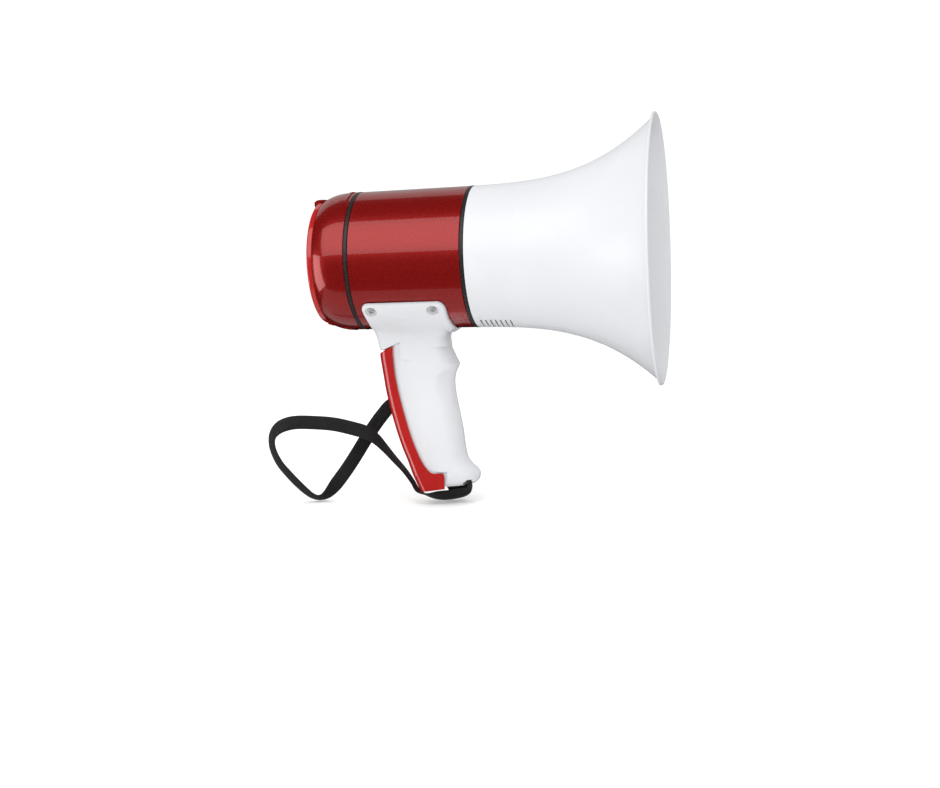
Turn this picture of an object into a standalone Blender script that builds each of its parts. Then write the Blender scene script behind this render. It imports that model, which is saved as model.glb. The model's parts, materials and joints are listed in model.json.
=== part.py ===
"""Handheld megaphone in its in-use pose, as separate named pieces.

Frame: the origin is the centre of the grip, +X runs forward along the horn, +Z is up.
Lengths in this file are millimetres; finish_mesh() turns them into metres.
"""
import math

import bmesh
import bpy
from mathutils import Matrix, Vector

MM = 0.001

# Driving dimensions
AXIS_Z = 135.0  # horn axis above the grip's centre
MOUTH_X = 210.0  # plane of the bell's mouth
BELL_R = 115.0
THROAT_R = 61.3
BODY_FRONT_R = 61.2
BODY_REAR_R = 60.4
BODY_WALL = 2.6
FRONT_SEAM_X = 51.0
REAR_SEAM_X = -49.8
SEAM_HALF = 1.6
GAP = 0.3  # air between pieces that touch
CAP_END_X = -81.1  # rear face of the rear housing
RING_R = 53.8  # outer radius of the door's bezel ring
RECESS_R = 46.0
DOOR_REAR_X = -86.6
DOOR_FLOOR_X = -83.2
DOOR_BACK_X = -81.4
DOOR_PIN = (-76.0, AXIS_Z - 53.5)
LATCH_PIN = (-56.0, AXIS_Z + 58.9)
WINDOW_Z = AXIS_Z - 7.0
SLIDER_Z = AXIS_Z - 26.0
MIC_Z = AXIS_Z + 26.0
BUTTON_PITCH = 15.9
KNOB_Y = -4.4
GRIP_HALF = 17.5
OVERLAP = 1.0  # how far solids that are joined or trimmed run into each other
CORE_HALF = 15.6
SPLIT = 0.15  # half the gap between the grip's two shells
FLANGE_IN_R = 61.7
FLANGE_OUT_R = 64.9
SCREW_X = (-32.7, 21.5)
SCREW_ANGLE = 47.5  # flange screws, degrees up from the bottom of the body
TRIGGER_PIN = (9.0, -61.0)
GRIP_SCREWS = [(2.0, 55.0), (8.0, -5.0), (26.0, -50.0)]
STRAP_WIDTH = 12.3
STRAP_THICK = 1.4
ROUND_STEPS = 32  # facets round the large turned pieces

HORN = Matrix.Translation((0, 0, AXIS_Z))


# ---------------------------------------------------------------- tools

def clear_scene():
    for obj in list(bpy.data.objects):
        bpy.data.objects.remove(obj, do_unlink=True)


def material(name, colour, roughness, metallic=0.0):
    mat = bpy.data.materials.new(name)
    mat.use_nodes = True
    shader = mat.node_tree.nodes["Principled BSDF"]
    shader.inputs["Base Color"].default_value = (*colour, 1.0)
    shader.inputs["Roughness"].default_value = roughness
    shader.inputs["Metallic"].default_value = metallic
    return mat


def make_materials():
    return {
        "red_lacquer": material("red_lacquer", (0.23, 0.010, 0.010), 0.22),
        "red_plastic": material("red_plastic", (0.52, 0.020, 0.016), 0.30),
        "white_plastic": material("white_plastic", (0.86, 0.87, 0.90), 0.28),
        "grey_plastic": material("grey_plastic", (0.55, 0.55, 0.57), 0.45),
        "black_plastic": material("black_plastic", (0.022, 0.022, 0.024), 0.40),
        "black_rubber": material("black_rubber", (0.030, 0.030, 0.030), 0.60),
        "silver_plate": material("silver_plate", (0.75, 0.75, 0.78), 0.35, 0.6),
        "steel": material("steel", (0.60, 0.60, 0.60), 0.30, 1.0),
        "aluminium": material("aluminium", (0.70, 0.71, 0.72), 0.40, 1.0),
        "ferrite": material("ferrite", (0.07, 0.07, 0.07), 0.70),
        "circuit_board": material("circuit_board", (0.02, 0.16, 0.07), 0.50),
        "copper": material("copper", (0.60, 0.26, 0.12), 0.35, 1.0),
        "brass": material("brass", (0.66, 0.48, 0.20), 0.30, 1.0),
        "webbing": material("webbing", (0.018, 0.018, 0.018), 0.90),
        "red_wire": material("red_wire", (0.60, 0.02, 0.02), 0.50),
    }


def finish_mesh(name, bm, mat=None, pivot=(0, 0, 0)):
    """Turn a bmesh in millimetres into an object in metres, with its origin at pivot."""
    bmesh.ops.recalc_face_normals(bm, faces=bm.faces)
    bmesh.ops.transform(bm, matrix=Matrix.Translation(-Vector(pivot)), verts=bm.verts)
    bmesh.ops.scale(bm, vec=(MM, MM, MM), verts=bm.verts)
    mesh = bpy.data.meshes.new(name)
    bm.to_mesh(mesh)
    bm.free()
    mesh.shade_smooth()
    mesh.set_sharp_from_angle(angle=math.radians(35))
    obj = bpy.data.objects.new(name, mesh)
    obj.location = Vector(pivot) * MM
    if mat:
        mesh.materials.append(mat)
    bpy.context.scene.collection.objects.link(obj)
    return obj


def tool(name, bm):
    """A hidden object that only shapes others."""
    obj = finish_mesh(name, bm)
    obj.hide_render = True
    obj.display_type = "WIRE"
    return obj


def combine(target, operation, other, name):
    """Join, cut or intersect target with another object."""
    mod = target.modifiers.new(name, "BOOLEAN")
    mod.operation = operation
    mod.object = other
    mod.solver = "EXACT"


def shape(target, operation, bm, name):
    """Join, cut or intersect target with the solid in bm."""
    combine(target, operation, tool(f"{target.name}_{name}_tool", bm), name)


def cut(target, bm, name):
    shape(target, "DIFFERENCE", bm, name)


def join(target, bm, name):
    shape(target, "UNION", bm, name)


def spun(outline, steps, frame=HORN, start=0.0, sweep=360.0):
    """Turn a closed outline of (distance along local X, radius) about frame's X axis.

    Angle 0 is up and 90 is to the left (+Y).
    """
    bm = bmesh.new()
    full = sweep >= 360.0
    count = steps if full else steps + 1
    rings = []
    for x, r in outline:
        if r < 1e-6:
            rings.append([bm.verts.new(frame @ Vector((x, 0, 0)))] * count)
            continue
        ring = []
        for k in range(count):
            a = math.radians(start + sweep * k / steps)
            ring.append(bm.verts.new(frame @ Vector((x, r * math.sin(a), r * math.cos(a)))))
        rings.append(ring)
    for i, ring in enumerate(rings):
        after = rings[(i + 1) % len(rings)]
        for k in range(steps):
            j = (k + 1) % count
            corners = list(dict.fromkeys((ring[k], ring[j], after[j], after[k])))
            if len(corners) > 2:
                bm.faces.new(corners)
    if not full:
        bm.faces.new([ring[0] for ring in rings])
        bm.faces.new([ring[-1] for ring in rings])
    return bm


def loft(sections):
    """Skin closed loops of points, one after the other, with a flat cap at each end."""
    bm = bmesh.new()
    rows = [[bm.verts.new(p) for p in section] for section in sections]
    for row, after in zip(rows, rows[1:]):
        for k in range(len(row)):
            j = (k + 1) % len(row)
            bm.faces.new((row[k], row[j], after[j], after[k]))
    bm.faces.new(rows[0])
    bm.faces.new(rows[-1])
    return bm


def prism(points, low, high, along="Y"):
    """Extrude an outline: (x, z) along Y, (y, z) along X, or (x, y) along Z."""
    place = {
        "Y": lambda a, b, c: (a, c, b),
        "X": lambda a, b, c: (c, a, b),
        "Z": lambda a, b, c: (a, b, c),
    }[along]
    return loft([[place(a, b, c) for a, b in points] for c in (low, high)])


def block(low, high):
    corners = [(low[0], low[1]), (high[0], low[1]), (high[0], high[1]), (low[0], high[1])]
    return prism(corners, low[2], high[2], along="Z")


def aim(start, direction):
    """Frame at start whose X axis points along direction."""
    turn = Vector((1, 0, 0)).rotation_difference(Vector(direction)).to_matrix().to_4x4()
    return Matrix.Translation(start) @ turn


def rod(start, end, radius, steps=16):
    axis = Vector(end) - Vector(start)
    outline = [(0, 0), (0, radius), (axis.length, radius), (axis.length, 0)]
    return spun(outline, steps, aim(start, axis))


def merged(parts):
    """One bmesh that holds several separate solids."""
    total = bmesh.new()
    for bm in parts:
        mesh = bpy.data.meshes.new("scratch")
        bm.to_mesh(mesh)
        bm.free()
        total.from_mesh(mesh)
        bpy.data.meshes.remove(mesh)
    return total


def arc(centre, radius, start, end, steps):
    """Points on an arc, in degrees from the first axis."""
    points = []
    for k in range(steps + 1):
        a = math.radians(start + (end - start) * k / steps)
        points.append((centre[0] + radius * math.cos(a), centre[1] + radius * math.sin(a)))
    return points


def obround(centre, length, height, steps=8):
    """Slot outline with round ends, lying along the first axis."""
    half = (length - height) / 2
    right = arc((centre[0] + half, centre[1]), height / 2, -90, 90, steps)
    left = arc((centre[0] - half, centre[1]), height / 2, 90, 270, steps)
    return right + left


def mix(table, z):
    """Straight-line value at z in a table of (z, value) with z going down."""
    if z >= table[0][0]:
        return table[0][1]
    for (z1, v1), (z2, v2) in zip(table, table[1:]):
        if z >= z2:
            return v1 + (v2 - v1) * (z1 - z) / (z1 - z2)
    return table[-1][1]


# ---------------------------------------------------------------- horn and driver

BELL_START_X = FRONT_SEAM_X + SEAM_HALF + GAP


def bell_radius(u):
    """Outer radius of the bell at u, from 0 at the throat to 1 at the mouth."""
    return THROAT_R + (BELL_R - 1.2 - THROAT_R) * (0.06 * u + 0.94 * u ** 3)


def bell_slope(u):
    return (BELL_R - 1.2 - THROAT_R) * (0.06 + 2.82 * u * u) / (MOUTH_X - BELL_START_X)


def horn_bell(mats):
    wall = 2.2
    stations = [0, 0.22, 0.4, 0.55, 0.68, 0.79, 0.88, 0.95, 0.99]
    length = MOUTH_X - BELL_START_X
    outer = [(BELL_START_X + length * u, bell_radius(u)) for u in stations]
    lip = [(208.6, 114.6), (209.5, BELL_R), (MOUTH_X, 114.3), (MOUTH_X, 112.2)]
    inner = []
    for u in reversed(stations):
        depth = wall * math.sqrt(1 + bell_slope(u) ** 2)
        inner.append((BELL_START_X + length * u, bell_radius(u) - depth))
    bell = finish_mesh("horn_bell", spun(outer + lip + inner, 36), mats["white_plastic"])
    slits = []
    for k in range(7):
        x = 58.0 + 4.3 * k
        ring = [(x, 57.0), (x + 2.0, 57.0), (x + 2.0, 66.0), (x, 66.0)]
        slits.append(spun(ring, 4, start=149, sweep=62))
    cut(bell, merged(slits), "slits")


def reflector(mats):
    outer = [(172, 0), (171.5, 10), (169.5, 20), (165.5, 29), (160, 35.5), (150, 38.5)]
    outer += [(125, 41), (100, 43.5)]
    inner = [(100, 41.7), (125, 39.2), (150, 36.5), (158, 33), (163, 25), (165, 14), (158, 0)]
    obj = finish_mesh("reflector", spun(outer + inner, 24), mats["grey_plastic"])
    ribs = []
    for k in range(3):
        turn = Matrix.Rotation(math.radians(120 * k), 4, "X")
        rib = block((130, -1, 22.2), (146, 1, 37.5))
        bmesh.ops.transform(rib, matrix=HORN @ turn, verts=rib.verts)
        ribs.append(rib)
    join(obj, spun([(128, 21.1), (146.5, 21.1), (146.5, 23.4), (128, 23.4)], 24), "collar")
    join(obj, merged(ribs), "ribs")


def tone_tube(mats):
    outer = [(86, 59.4), (88.5, 59.6), (88.5, 24), (92, 18), (100, 16.5), (148, 20.4)]
    inner = [(150, 19.6), (148, 18.6), (100, 14.7), (86, 14.2)]
    finish_mesh("tone_tube", spun(outer + inner, 28), mats["grey_plastic"])


def driver(mats):
    cover = [(82.2, 14.5), (85.4, 14.5), (85.4, 36), (82.2, 36)]
    finish_mesh("driver_cover", spun(cover, 24), mats["grey_plastic"])
    dome = [(81.6, 25.5), (81.6, 22.5), (78.5, 12), (77.6, 0), (76.9, 0), (77.8, 12.3)]
    dome += [(80.8, 22.8), (80.8, 25.5)]
    finish_mesh("driver_diaphragm", spun(dome, 20), mats["aluminium"])
    ring = [(62.1, 10), (74, 10), (74, 30), (62.1, 30)]
    finish_mesh("driver_magnet", spun(ring, 20), mats["ferrite"])
    cup = [(58, 0), (58, 32), (59, 33), (80.4, 33), (80.4, 31), (61.7, 31), (61.7, 8)]
    cup += [(72, 8), (72, 0)]
    finish_mesh("driver_housing", spun(cup, 24), mats["steel"])


# ---------------------------------------------------------------- body and rear housing

def seam_ring(name, x, outer, mats):
    low, high = x - SEAM_HALF, x + SEAM_HALF
    ring = [(low, outer - 4), (high, outer - 4), (high, outer), (low, outer)]
    finish_mesh(name, spun(ring, ROUND_STEPS), mats["black_rubber"])


def radial(x, angle, radius):
    """Frame on the body at angle degrees up from its bottom, X pointing straight out."""
    a = math.radians(angle)
    out = Vector((0, math.sin(a), -math.cos(a)))
    return aim(Vector((x, 0, AXIS_Z)) + out * radius, out)


def flange_screw_frames():
    return [radial(x, side * SCREW_ANGLE, 0) for side in (1, -1) for x in SCREW_X]


def body_tube(mats):
    low, high = REAR_SEAM_X + SEAM_HALF + GAP, FRONT_SEAM_X - SEAM_HALF - GAP
    wall = [(low, BODY_REAR_R), (high, BODY_FRONT_R)]
    wall += [(high, BODY_FRONT_R - BODY_WALL), (low, BODY_REAR_R - BODY_WALL)]
    tube = finish_mesh("body_tube", spun(wall, ROUND_STEPS), mats["red_lacquer"])
    holes = [spun([(50, 0), (50, 1.8), (70, 1.8), (70, 0)], 12, f) for f in flange_screw_frames()]
    cut(tube, merged(holes), "screw_holes")


def cap_radius(x):
    """Outer radius of the rear housing's rounded shoulder."""
    return BODY_REAR_R - 8.4 * ((-51.5 - x) / 33.0) ** 3


CAP_STATIONS = [-51.7, -60.0, -67.0, -72.5, -77.0, CAP_END_X]


def cap_shell(start, depth, raised=0.0, end=CAP_END_X):
    """Outline of a shell that follows the shoulder, from start to its rear end."""
    xs = [start] + [x for x in CAP_STATIONS if end < x < start] + [end]
    outer = [(x, cap_radius(x) + raised) for x in xs]
    inner = [(x, cap_radius(x) - depth) for x in reversed(xs)]
    return outer + inner


def flap_outline(margin):
    """Top view of the latch flap: wide at its hinge, narrow at its tab."""
    side = []
    for k in range(9):
        x = -54.9 - 25.3 * k / 8
        side.append((x, min(29.8, 30.5 * math.sqrt(1 - ((x + 54.9) / 28.0) ** 2)) + margin))
    side[0] = (-54.9 + margin * 2, 29.8 + margin)
    side.append((-84.0, 12.5 + margin))
    return side + [(x, -y) for x, y in reversed(side)]


def rear_housing(mats):
    outer = [(x, cap_radius(x)) for x in CAP_STATIONS]
    inner = [(CAP_END_X, 50.2), (-76.0, 51.4), (-68.0, 53.6), (-60.0, 55.2), (-51.7, 55.4)]
    cap = finish_mesh("rear_housing", spun(outer + inner, ROUND_STEPS), mats["red_lacquer"])
    lobe = tool("lobe_shell", spun(cap_shell(-58.0, 2.0, raised=0.6), 16, start=150, sweep=60))
    plan = arc((CAP_END_X - 1, 0), 22.5, -90, 90, 12)
    shape(lobe, "INTERSECT", prism(plan, 60.0, 100.0, along="Z"), "plan")
    combine(cap, "UNION", lobe, "lobe")
    cut(cap, block((-81.6, -8.4, AXIS_Z - 62), (-71.5, 8.4, AXIS_Z - 47)), "hinge_slot")
    px, pz = DOOR_PIN
    cut(cap, rod((px, -15.4, pz), (px, 15.4, pz), 1.29, 24), "hinge_bore")
    room = cap_shell(-53.9, 3.0, raised=4.0, end=-84)
    recess = tool("recess_shell", spun(room, 20, start=-36, sweep=72))
    shape(recess, "INTERSECT", prism(flap_outline(0.45), 150.0, 210.0, along="Z"), "plan")
    combine(cap, "DIFFERENCE", recess, "latch_recess")
    cut(cap, block((-58.5, -6.9, AXIS_Z + 56.6), (-53.8, 6.9, AXIS_Z + 64)), "knuckle_pocket")
    lx, lz = LATCH_PIN
    for side in (-1, 1):
        y1, y2 = sorted((side * 6.95, side * 10.1))
        lug = block((-58.2, y1, AXIS_Z + 56.0), (-53.6, y2, AXIS_Z + 60.2))
        join(cap, lug, f"lug_{'left' if side > 0 else 'right'}")
    cut(cap, rod((lx, -10.0, lz), (lx, 10.0, lz), 0.88, 12), "latch_bore")


def hinge_pins(mats):
    x, z = DOOR_PIN
    finish_mesh("door_hinge_pin", rod((x, -15, z), (x, 15, z), 1.2, 24), mats["steel"])
    x, z = LATCH_PIN
    finish_mesh("latch_pin", rod((x, -9.7, z), (x, 9.7, z), 0.8, 12), mats["steel"])


def door_latch(mats):
    x, z = LATCH_PIN
    pivot = (x, 0, z)
    shell = [(-55.8, cap_radius(-55.8)), (-54.9, 59.6), (-54.9, 58.7)]
    rear = [(px, cap_radius(px)) for px in reversed(CAP_STATIONS) if px < -56]
    inner = [(px, r - 1.7) for px, r in reversed(rear)]
    outline = shell + inner + rear
    curved = spun(outline, 16, start=-34, sweep=68)
    flap = finish_mesh("door_latch", curved, mats["red_lacquer"], pivot)
    shape(flap, "INTERSECT", prism(flap_outline(0.0), 150.0, 210.0, along="Z"), "plan")
    tab = [(-79, 53.2), (-79, 54.7), (-86.4, 54.9), (-88.2, 53.6), (-88.2, 47.4)]
    tab += [(-86.9, 46.8), (-86.9, 51.5), (-84, 53.0)]
    join(flap, prism([(a, b + AXIS_Z) for a, b in tab], -12.4, 12.4), "tab")
    ear = [(-86.0, 54.6), (-90.3, 52.8), (-89.8, 48.6), (-87.1, 46.9)]
    for side in (-1, 1):
        y1, y2 = sorted((side * 9.5, side * 12.3))
        join(flap, prism([(a, b + AXIS_Z) for a, b in ear], y1, y2), f"ear_{side + 1}")
    for side in (-1, 1):
        y1, y2 = sorted((side * 6.5, side * 10.5))
        cut(flap, block((-59, y1, AXIS_Z + 50), (-54, y2, AXIS_Z + 64)), f"notch_{side + 1}")
    join(flap, rod((x, -6.5, z), (x, 6.5, z), 1.8, 16), "knuckle")
    cut(flap, rod((x, -7, z), (x, 7, z), 0.88, 12), "bore")


# ---------------------------------------------------------------- rear door and controls

def disc_cut(centre_y, centre_z, radius, x1, x2, steps=24):
    return rod((x1, centre_y, centre_z), (x2, centre_y, centre_z), radius, steps)


def rear_door(mats):
    px, pz = DOOR_PIN
    pivot = (px, 0, pz)
    ring = [(DOOR_BACK_X, 0), (DOOR_BACK_X, 53.4), (-82.2, RING_R), (-85.2, RING_R), (-86.2, 53.3)]
    ring += [(DOOR_REAR_X, 52.4), (DOOR_REAR_X, 47.8), (-86.1, 46.8), (-85.2, 46.3)]
    ring += [(DOOR_FLOOR_X, RECESS_R), (DOOR_FLOOR_X, 0)]
    door = finish_mesh("rear_door", spun(ring, ROUND_STEPS), mats["red_plastic"], pivot)
    arm = [(-84.6, pz + 3.2), (-84.6, pz - 1.0), (-80.0, pz - 2.5)]
    arm += arc((px, pz), 2.7, -95, 90, 8)
    join(door, prism(arm, -8, 8), "hinge_arm")
    cut(door, rod((px, -9, pz), (px, 9, pz), 1.29, 24), "hinge_bore")
    cut(door, block((-90, -13.1, AXIS_Z + 46.3), (-81, 13.1, AXIS_Z + 56)), "latch_notch")
    cut(door, prism(obround((0, WINDOW_Z), 63.6, 12.4), -88, -80, along="X"), "window")
    cut(door, prism(obround((0, SLIDER_Z), 46.5, 5.7), -88, -80, along="X"), "slot")
    slots = []
    for k in range(-2, 3):
        half = math.sqrt(9.3 ** 2 - (3.3 * abs(k) + 0.8) ** 2)
        z = MIC_Z + 3.3 * k
        slots.append(block((-88, -half, z - 0.8), (-80, half, z + 0.8)))
    cut(door, merged(slots), "mic_slots")
    for side in (-1, 1):
        hole = [(-0.1, 0), (-0.1, 2.9), (1.3, 2.9), (1.3, 1.5), (3, 1.5), (3, 0)]
        frame = aim((DOOR_FLOOR_X, side * 32, AXIS_Z + 18), (1, 0, 0))
        cut(door, spun(hole, 16, frame), f"screw_hole_{side + 1}")
        foot, tip = (DOOR_BACK_X - 0.5, side * 30, AXIS_Z - 22), (-74, side * 30, AXIS_Z - 22)
        post = rod(foot, tip, 2.2, 12)
        join(door, post, f"post_{side + 1}")


def label_plate(mats):
    edge = arc((0, AXIS_Z), 45.4, 12.2, -192.2, 36)
    plate = finish_mesh("label_plate", prism(edge, -83.95, -83.5, along="X"), mats["silver_plate"])
    cut(plate, prism(obround((0, WINDOW_Z), 64.2, 13.0), -88, -80, along="X"), "window")
    cut(plate, prism(obround((0, SLIDER_Z), 47.1, 6.3), -88, -80, along="X"), "slot")


def button_ys():
    return [BUTTON_PITCH * k for k in (-1.5, -0.5, 0.5, 1.5)]


def buttons(mats):
    tray = finish_mesh(
        "button_bezel",
        prism(obround((0, WINDOW_Z), 69, 17), -81.1, -80.3, along="X"),
        mats["black_plastic"],
    )
    head = [(-86.9, 0), (-86.7, 2.6), (-86.1, 4.4), (-85.2, 5.3), (-82.8, 5.3), (-82.8, 4.3)]
    head += [(-79.4, 4.3), (-79.4, 0)]
    holes = []
    for n, y in enumerate(button_ys(), 1):
        holes.append(disc_cut(y, WINDOW_Z, 4.7, -84, -78, 16))
        frame = Matrix.Translation((0, y, WINDOW_Z))
        finish_mesh(f"button_{n}", spun(head, 16, frame), mats["red_plastic"], (-83, y, WINDOW_Z))
        body = block((-76.9, y - 3, WINDOW_Z - 3), (-73.9, y + 3, WINDOW_Z + 3))
        switch = finish_mesh(f"switch_{n}", body, mats["black_plastic"])
        join(switch, disc_cut(y, WINDOW_Z, 1.7, -77.6, -76.0, 12), "plunger")
    cut(tray, merged(holes), "holes")


def volume(mats):
    knob = [(-86.8, 0), (-86.4, 2.0), (-85.6, 3.1), (-84.4, 3.1)]
    knob += [(-84.4, 1.6), (-78.8, 1.6), (-78.8, 0)]
    frame = Matrix.Translation((0, KNOB_Y, SLIDER_Z))
    finish_mesh("volume_knob", spun(knob, 16, frame), mats["red_plastic"], (-84, KNOB_Y, SLIDER_Z))
    pot = block((-78.4, -25.5, SLIDER_Z - 4.5), (-73.9, 25.5, SLIDER_Z + 4.5))
    finish_mesh("volume_pot", pot, mats["black_plastic"])


def door_fittings(mats):
    board = block((-73.6, -33, AXIS_Z - 31), (-72.0, 33, AXIS_Z))
    finish_mesh("control_board", board, mats["circuit_board"])
    mic = [(-81.0, 0), (-81.0, 4.2), (-80.4, 4.8), (-76.5, 4.8), (-76.5, 0)]
    frame = Matrix.Translation((0, 0, MIC_Z))
    finish_mesh("mic_capsule", spun(mic, 20, frame), mats["aluminium"])
    screw = [(-83.1, 0), (-83.1, 2.2), (-82.8, 2.6), (-82.1, 2.6)]
    screw += [(-82.1, 1.2), (-78, 1.2), (-78, 0)]
    for side, name in ((-1, "right"), (1, "left")):
        frame = Matrix.Translation((0, side * 32, AXIS_Z + 18))
        finish_mesh(f"panel_screw_{name}", spun(screw, 16, frame), mats["steel"])


# ---------------------------------------------------------------- inside the body

def battery(mats):
    low, high = -22.6 + AXIS_Z, 21.0 + AXIS_Z
    side = []
    for k in range(11):
        x = -64.0 + 7.6 * k
        side += [(x, 26.0), (x + 4.2, 26.0), (x + 4.8, 25.0), (x + 7.0, 25.0)]
    outline = side + [(x, -y) for x, y in reversed(side)]
    finish_mesh("battery_case", prism(outline, low, high, along="Z"), mats["black_plastic"])
    lid = [(-26, high + 0.3), (26, high + 0.3), (26, high + 2.8), (24.5, high + 4.2)]
    lid += [(-24.5, high + 4.2), (-26, high + 2.8)]
    finish_mesh("battery_lid", prism(lid, -64, 19, along="X"), mats["black_plastic"])
    for n, y in enumerate((-9.5, 9.5), 1):
        pin = [(19.6, 0), (19.6, 2.0), (27.0, 2.0), (28.2, 1.2), (28.2, 0)]
        frame = Matrix.Translation((0, y, AXIS_Z))
        finish_mesh(f"charger_pin_{n}", spun(pin, 12, frame), mats["brass"])
    floor = AXIS_Z - 22.9
    u = [(30, AXIS_Z - 6), (30, floor - 1.8), (15, floor - 1.8), (15, AXIS_Z - 55.2)]
    u += [(13, AXIS_Z - 55.7), (13, floor - 1.8), (-13, floor - 1.8), (-13, AXIS_Z - 55.7)]
    u += [(-15, AXIS_Z - 55.2), (-15, floor - 1.8), (-30, floor - 1.8), (-30, AXIS_Z - 6)]
    u += [(-28.2, AXIS_Z - 6), (-28.2, floor), (28.2, floor), (28.2, AXIS_Z - 6)]
    finish_mesh("battery_cradle", prism(u, -47, 22, along="X"), mats["grey_plastic"])


def curve_points(controls, per_span):
    """Smooth curve through the control points (Catmull-Rom)."""
    pts = [Vector(c) for c in controls]
    pts = [pts[0] * 2 - pts[1]] + pts + [pts[-1] * 2 - pts[-2]]
    out = []
    for a, b, c, d in zip(pts, pts[1:], pts[2:], pts[3:]):
        for k in range(per_span):
            t = k / per_span
            p = b * 2 + (c - a) * t + (a * 2 - b * 5 + c * 4 - d) * t ** 2
            out.append((p + (b * 3 - a - c * 3 + d) * t ** 3) * 0.5)
    out.append(pts[-2])
    return out


def tube_sections(path, radius, sides):
    """Loops of points round a path, turned as little as possible from one to the next."""
    sections = []
    side = None
    for i, p in enumerate(path):
        ahead = path[min(i + 1, len(path) - 1)]
        behind = path[max(i - 1, 0)]
        tangent = (ahead - behind).normalized()
        if side is None:
            side = tangent.orthogonal()
        side = (side - tangent * side.dot(tangent)).normalized()
        other = tangent.cross(side)
        loop = []
        for k in range(sides):
            a = 2 * math.pi * k / sides
            loop.append(p + side * (radius * math.cos(a)) + other * (radius * math.sin(a)))
        sections.append(loop)
    return sections


def battery_lead(mats):
    up = AXIS_Z
    route = [(-64.4, 18, up + 10), (-67, 18, up + 11), (-69.5, 17, up + 15), (-69.5, 13, up + 22)]
    route += [(-67, 8, up + 28), (-62.5, 4, up + 31.5), (-58.3, 3, up + 32)]
    path = curve_points(route, 3)
    finish_mesh("battery_lead", loft(tube_sections(path, 1.1, 8)), mats["red_wire"])
    plug = block((-58, -1, up + 29), (-46, 7, up + 35))
    finish_mesh("battery_connector", plug, mats["white_plastic"])


def amplifier(mats):
    board = block((33, -38, AXIS_Z - 30), (34.6, 38, AXIS_Z + 34))
    finish_mesh("amplifier_board", board, mats["circuit_board"])
    comb = [(34.9, -36), (47, -36)]
    for k in range(4):
        y = -36 + 4.6 * k
        comb += [(47, y + 1.6), (37, y + 1.6), (37, y + 4.6), (47, y + 4.6)]
    comb += [(47, -16), (34.9, -16)]
    sink = prism(comb, AXIS_Z - 20, AXIS_Z + 20, along="Z")
    finish_mesh("heat_sink", sink, mats["aluminium"])
    core = block((34.9, -8, AXIS_Z - 24), (50, 14, AXIS_Z + 2))
    finish_mesh("output_transformer", core, mats["copper"])
    for n, z in enumerate((-14, 14), 1):
        can = [(34.9, 0), (34.9, 5), (49.2, 5), (50, 4.2), (50, 0)]
        frame = Matrix.Translation((0, 27, AXIS_Z + z))
        finish_mesh(f"capacitor_{n}", spun(can, 16, frame), mats["black_plastic"])


# ---------------------------------------------------------------- grip

# Each station of the grip is a chord: front point, rear point, and a factor on its width.
GRIP_STATIONS = [
    ((20.5, 78.0), (-38.0, 78.0), 1.0),
    ((21.5, 70.5), (-37.8, 70.0), 1.0),
    ((24.8, 60.0), (-37.2, 62.0), 1.0),
    ((27.6, 52.0), (-36.9, 57.0), 1.0),
    ((29.0, 48.5), (-28.5, 53.5), 1.0),
    ((31.2, 45.0), (-28.2, 48.5), 1.0),
    ((32.2, 42.0), (-28.0, 44.0), 1.0),
    ((30.9, 38.5), (-27.7, 40.0), 1.0),
    ((28.4, 34.0), (-27.3, 35.0), 1.0),
    ((27.1, 26.0), (-26.6, 27.0), 1.0),
    ((28.2, 14.0), (-25.0, 14.0), 1.0),
    ((30.6, 0.0), (-22.6, 0.0), 1.0),
    ((33.0, -15.0), (-19.6, -15.0), 1.0),
    ((34.6, -31.0), (-15.2, -31.0), 1.0),
    ((36.6, -41.0), (-12.0, -42.0), 1.0),
    ((41.2, -47.5), (-9.8, -48.5), 1.0),
    ((45.6, -51.5), (-8.4, -54.0), 1.0),
    ((47.0, -55.5), (-7.0, -59.0), 0.98),
    ((45.6, -60.5), (-5.4, -63.5), 0.90),
    ((41.5, -63.8), (-4.0, -66.5), 0.72),
]

# Line in front of which the grip swells to its full width: (height, x).
SWELL_LINE = [
    (64.0, -60.0), (46.0, -15.9), (35.0, -15.6), (17.5, -13.4), (-2.0, -10.1),
    (-21.0, -6.0), (-39.0, -0.4), (-48.0, 3.6), (-75.0, 12.0),
]


def grip_half_width(x, z):
    t = max(0.0, min(1.0, (x - mix(SWELL_LINE, z)) / 12.0))
    return CORE_HALF - 0.05 + (GRIP_HALF - CORE_HALF + 0.05) * t * t * (3 - 2 * t)


def grip_section(front, rear, factor, side):
    """Half of the grip's cross-section, from the rear's centre round to the front's centre."""
    front, rear = Vector(front), Vector(rear)
    length = (front - rear).length
    nose, tail = 15.0, 6.0
    places = [(0.0, 0.0), (0.6, 0.55), (2.2, 0.80), (tail, 1.0)]
    places += [(tail + (length - nose - tail) * k / 3, 1.0) for k in (1, 2)]
    for left in (nose, 10.0, 6.0, 3.0, 1.0, 0.0):
        places.append((length - left, math.sqrt(max(0.0, 1 - ((nose - left) / nose) ** 2))))
    loop = []
    for along, share in places:
        x, z = rear.lerp(front, along / length)
        half = grip_half_width(x, z) * factor * share
        loop.append((x, side * (half if share > 0 else -OVERLAP), z))
    return loop


def grip_body(side):
    return loft([grip_section(f, r, w, side) for f, r, w in GRIP_STATIONS])


def flange(side):
    """Saddle flange of one shell: a curved plate against the body."""
    inner = FLANGE_IN_R - OVERLAP
    plate = [(-45, inner), (38, inner), (38, FLANGE_OUT_R), (-45, FLANGE_OUT_R)]
    return spun(plate, 12, start=178 if side < 0 else 118, sweep=64)


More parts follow.
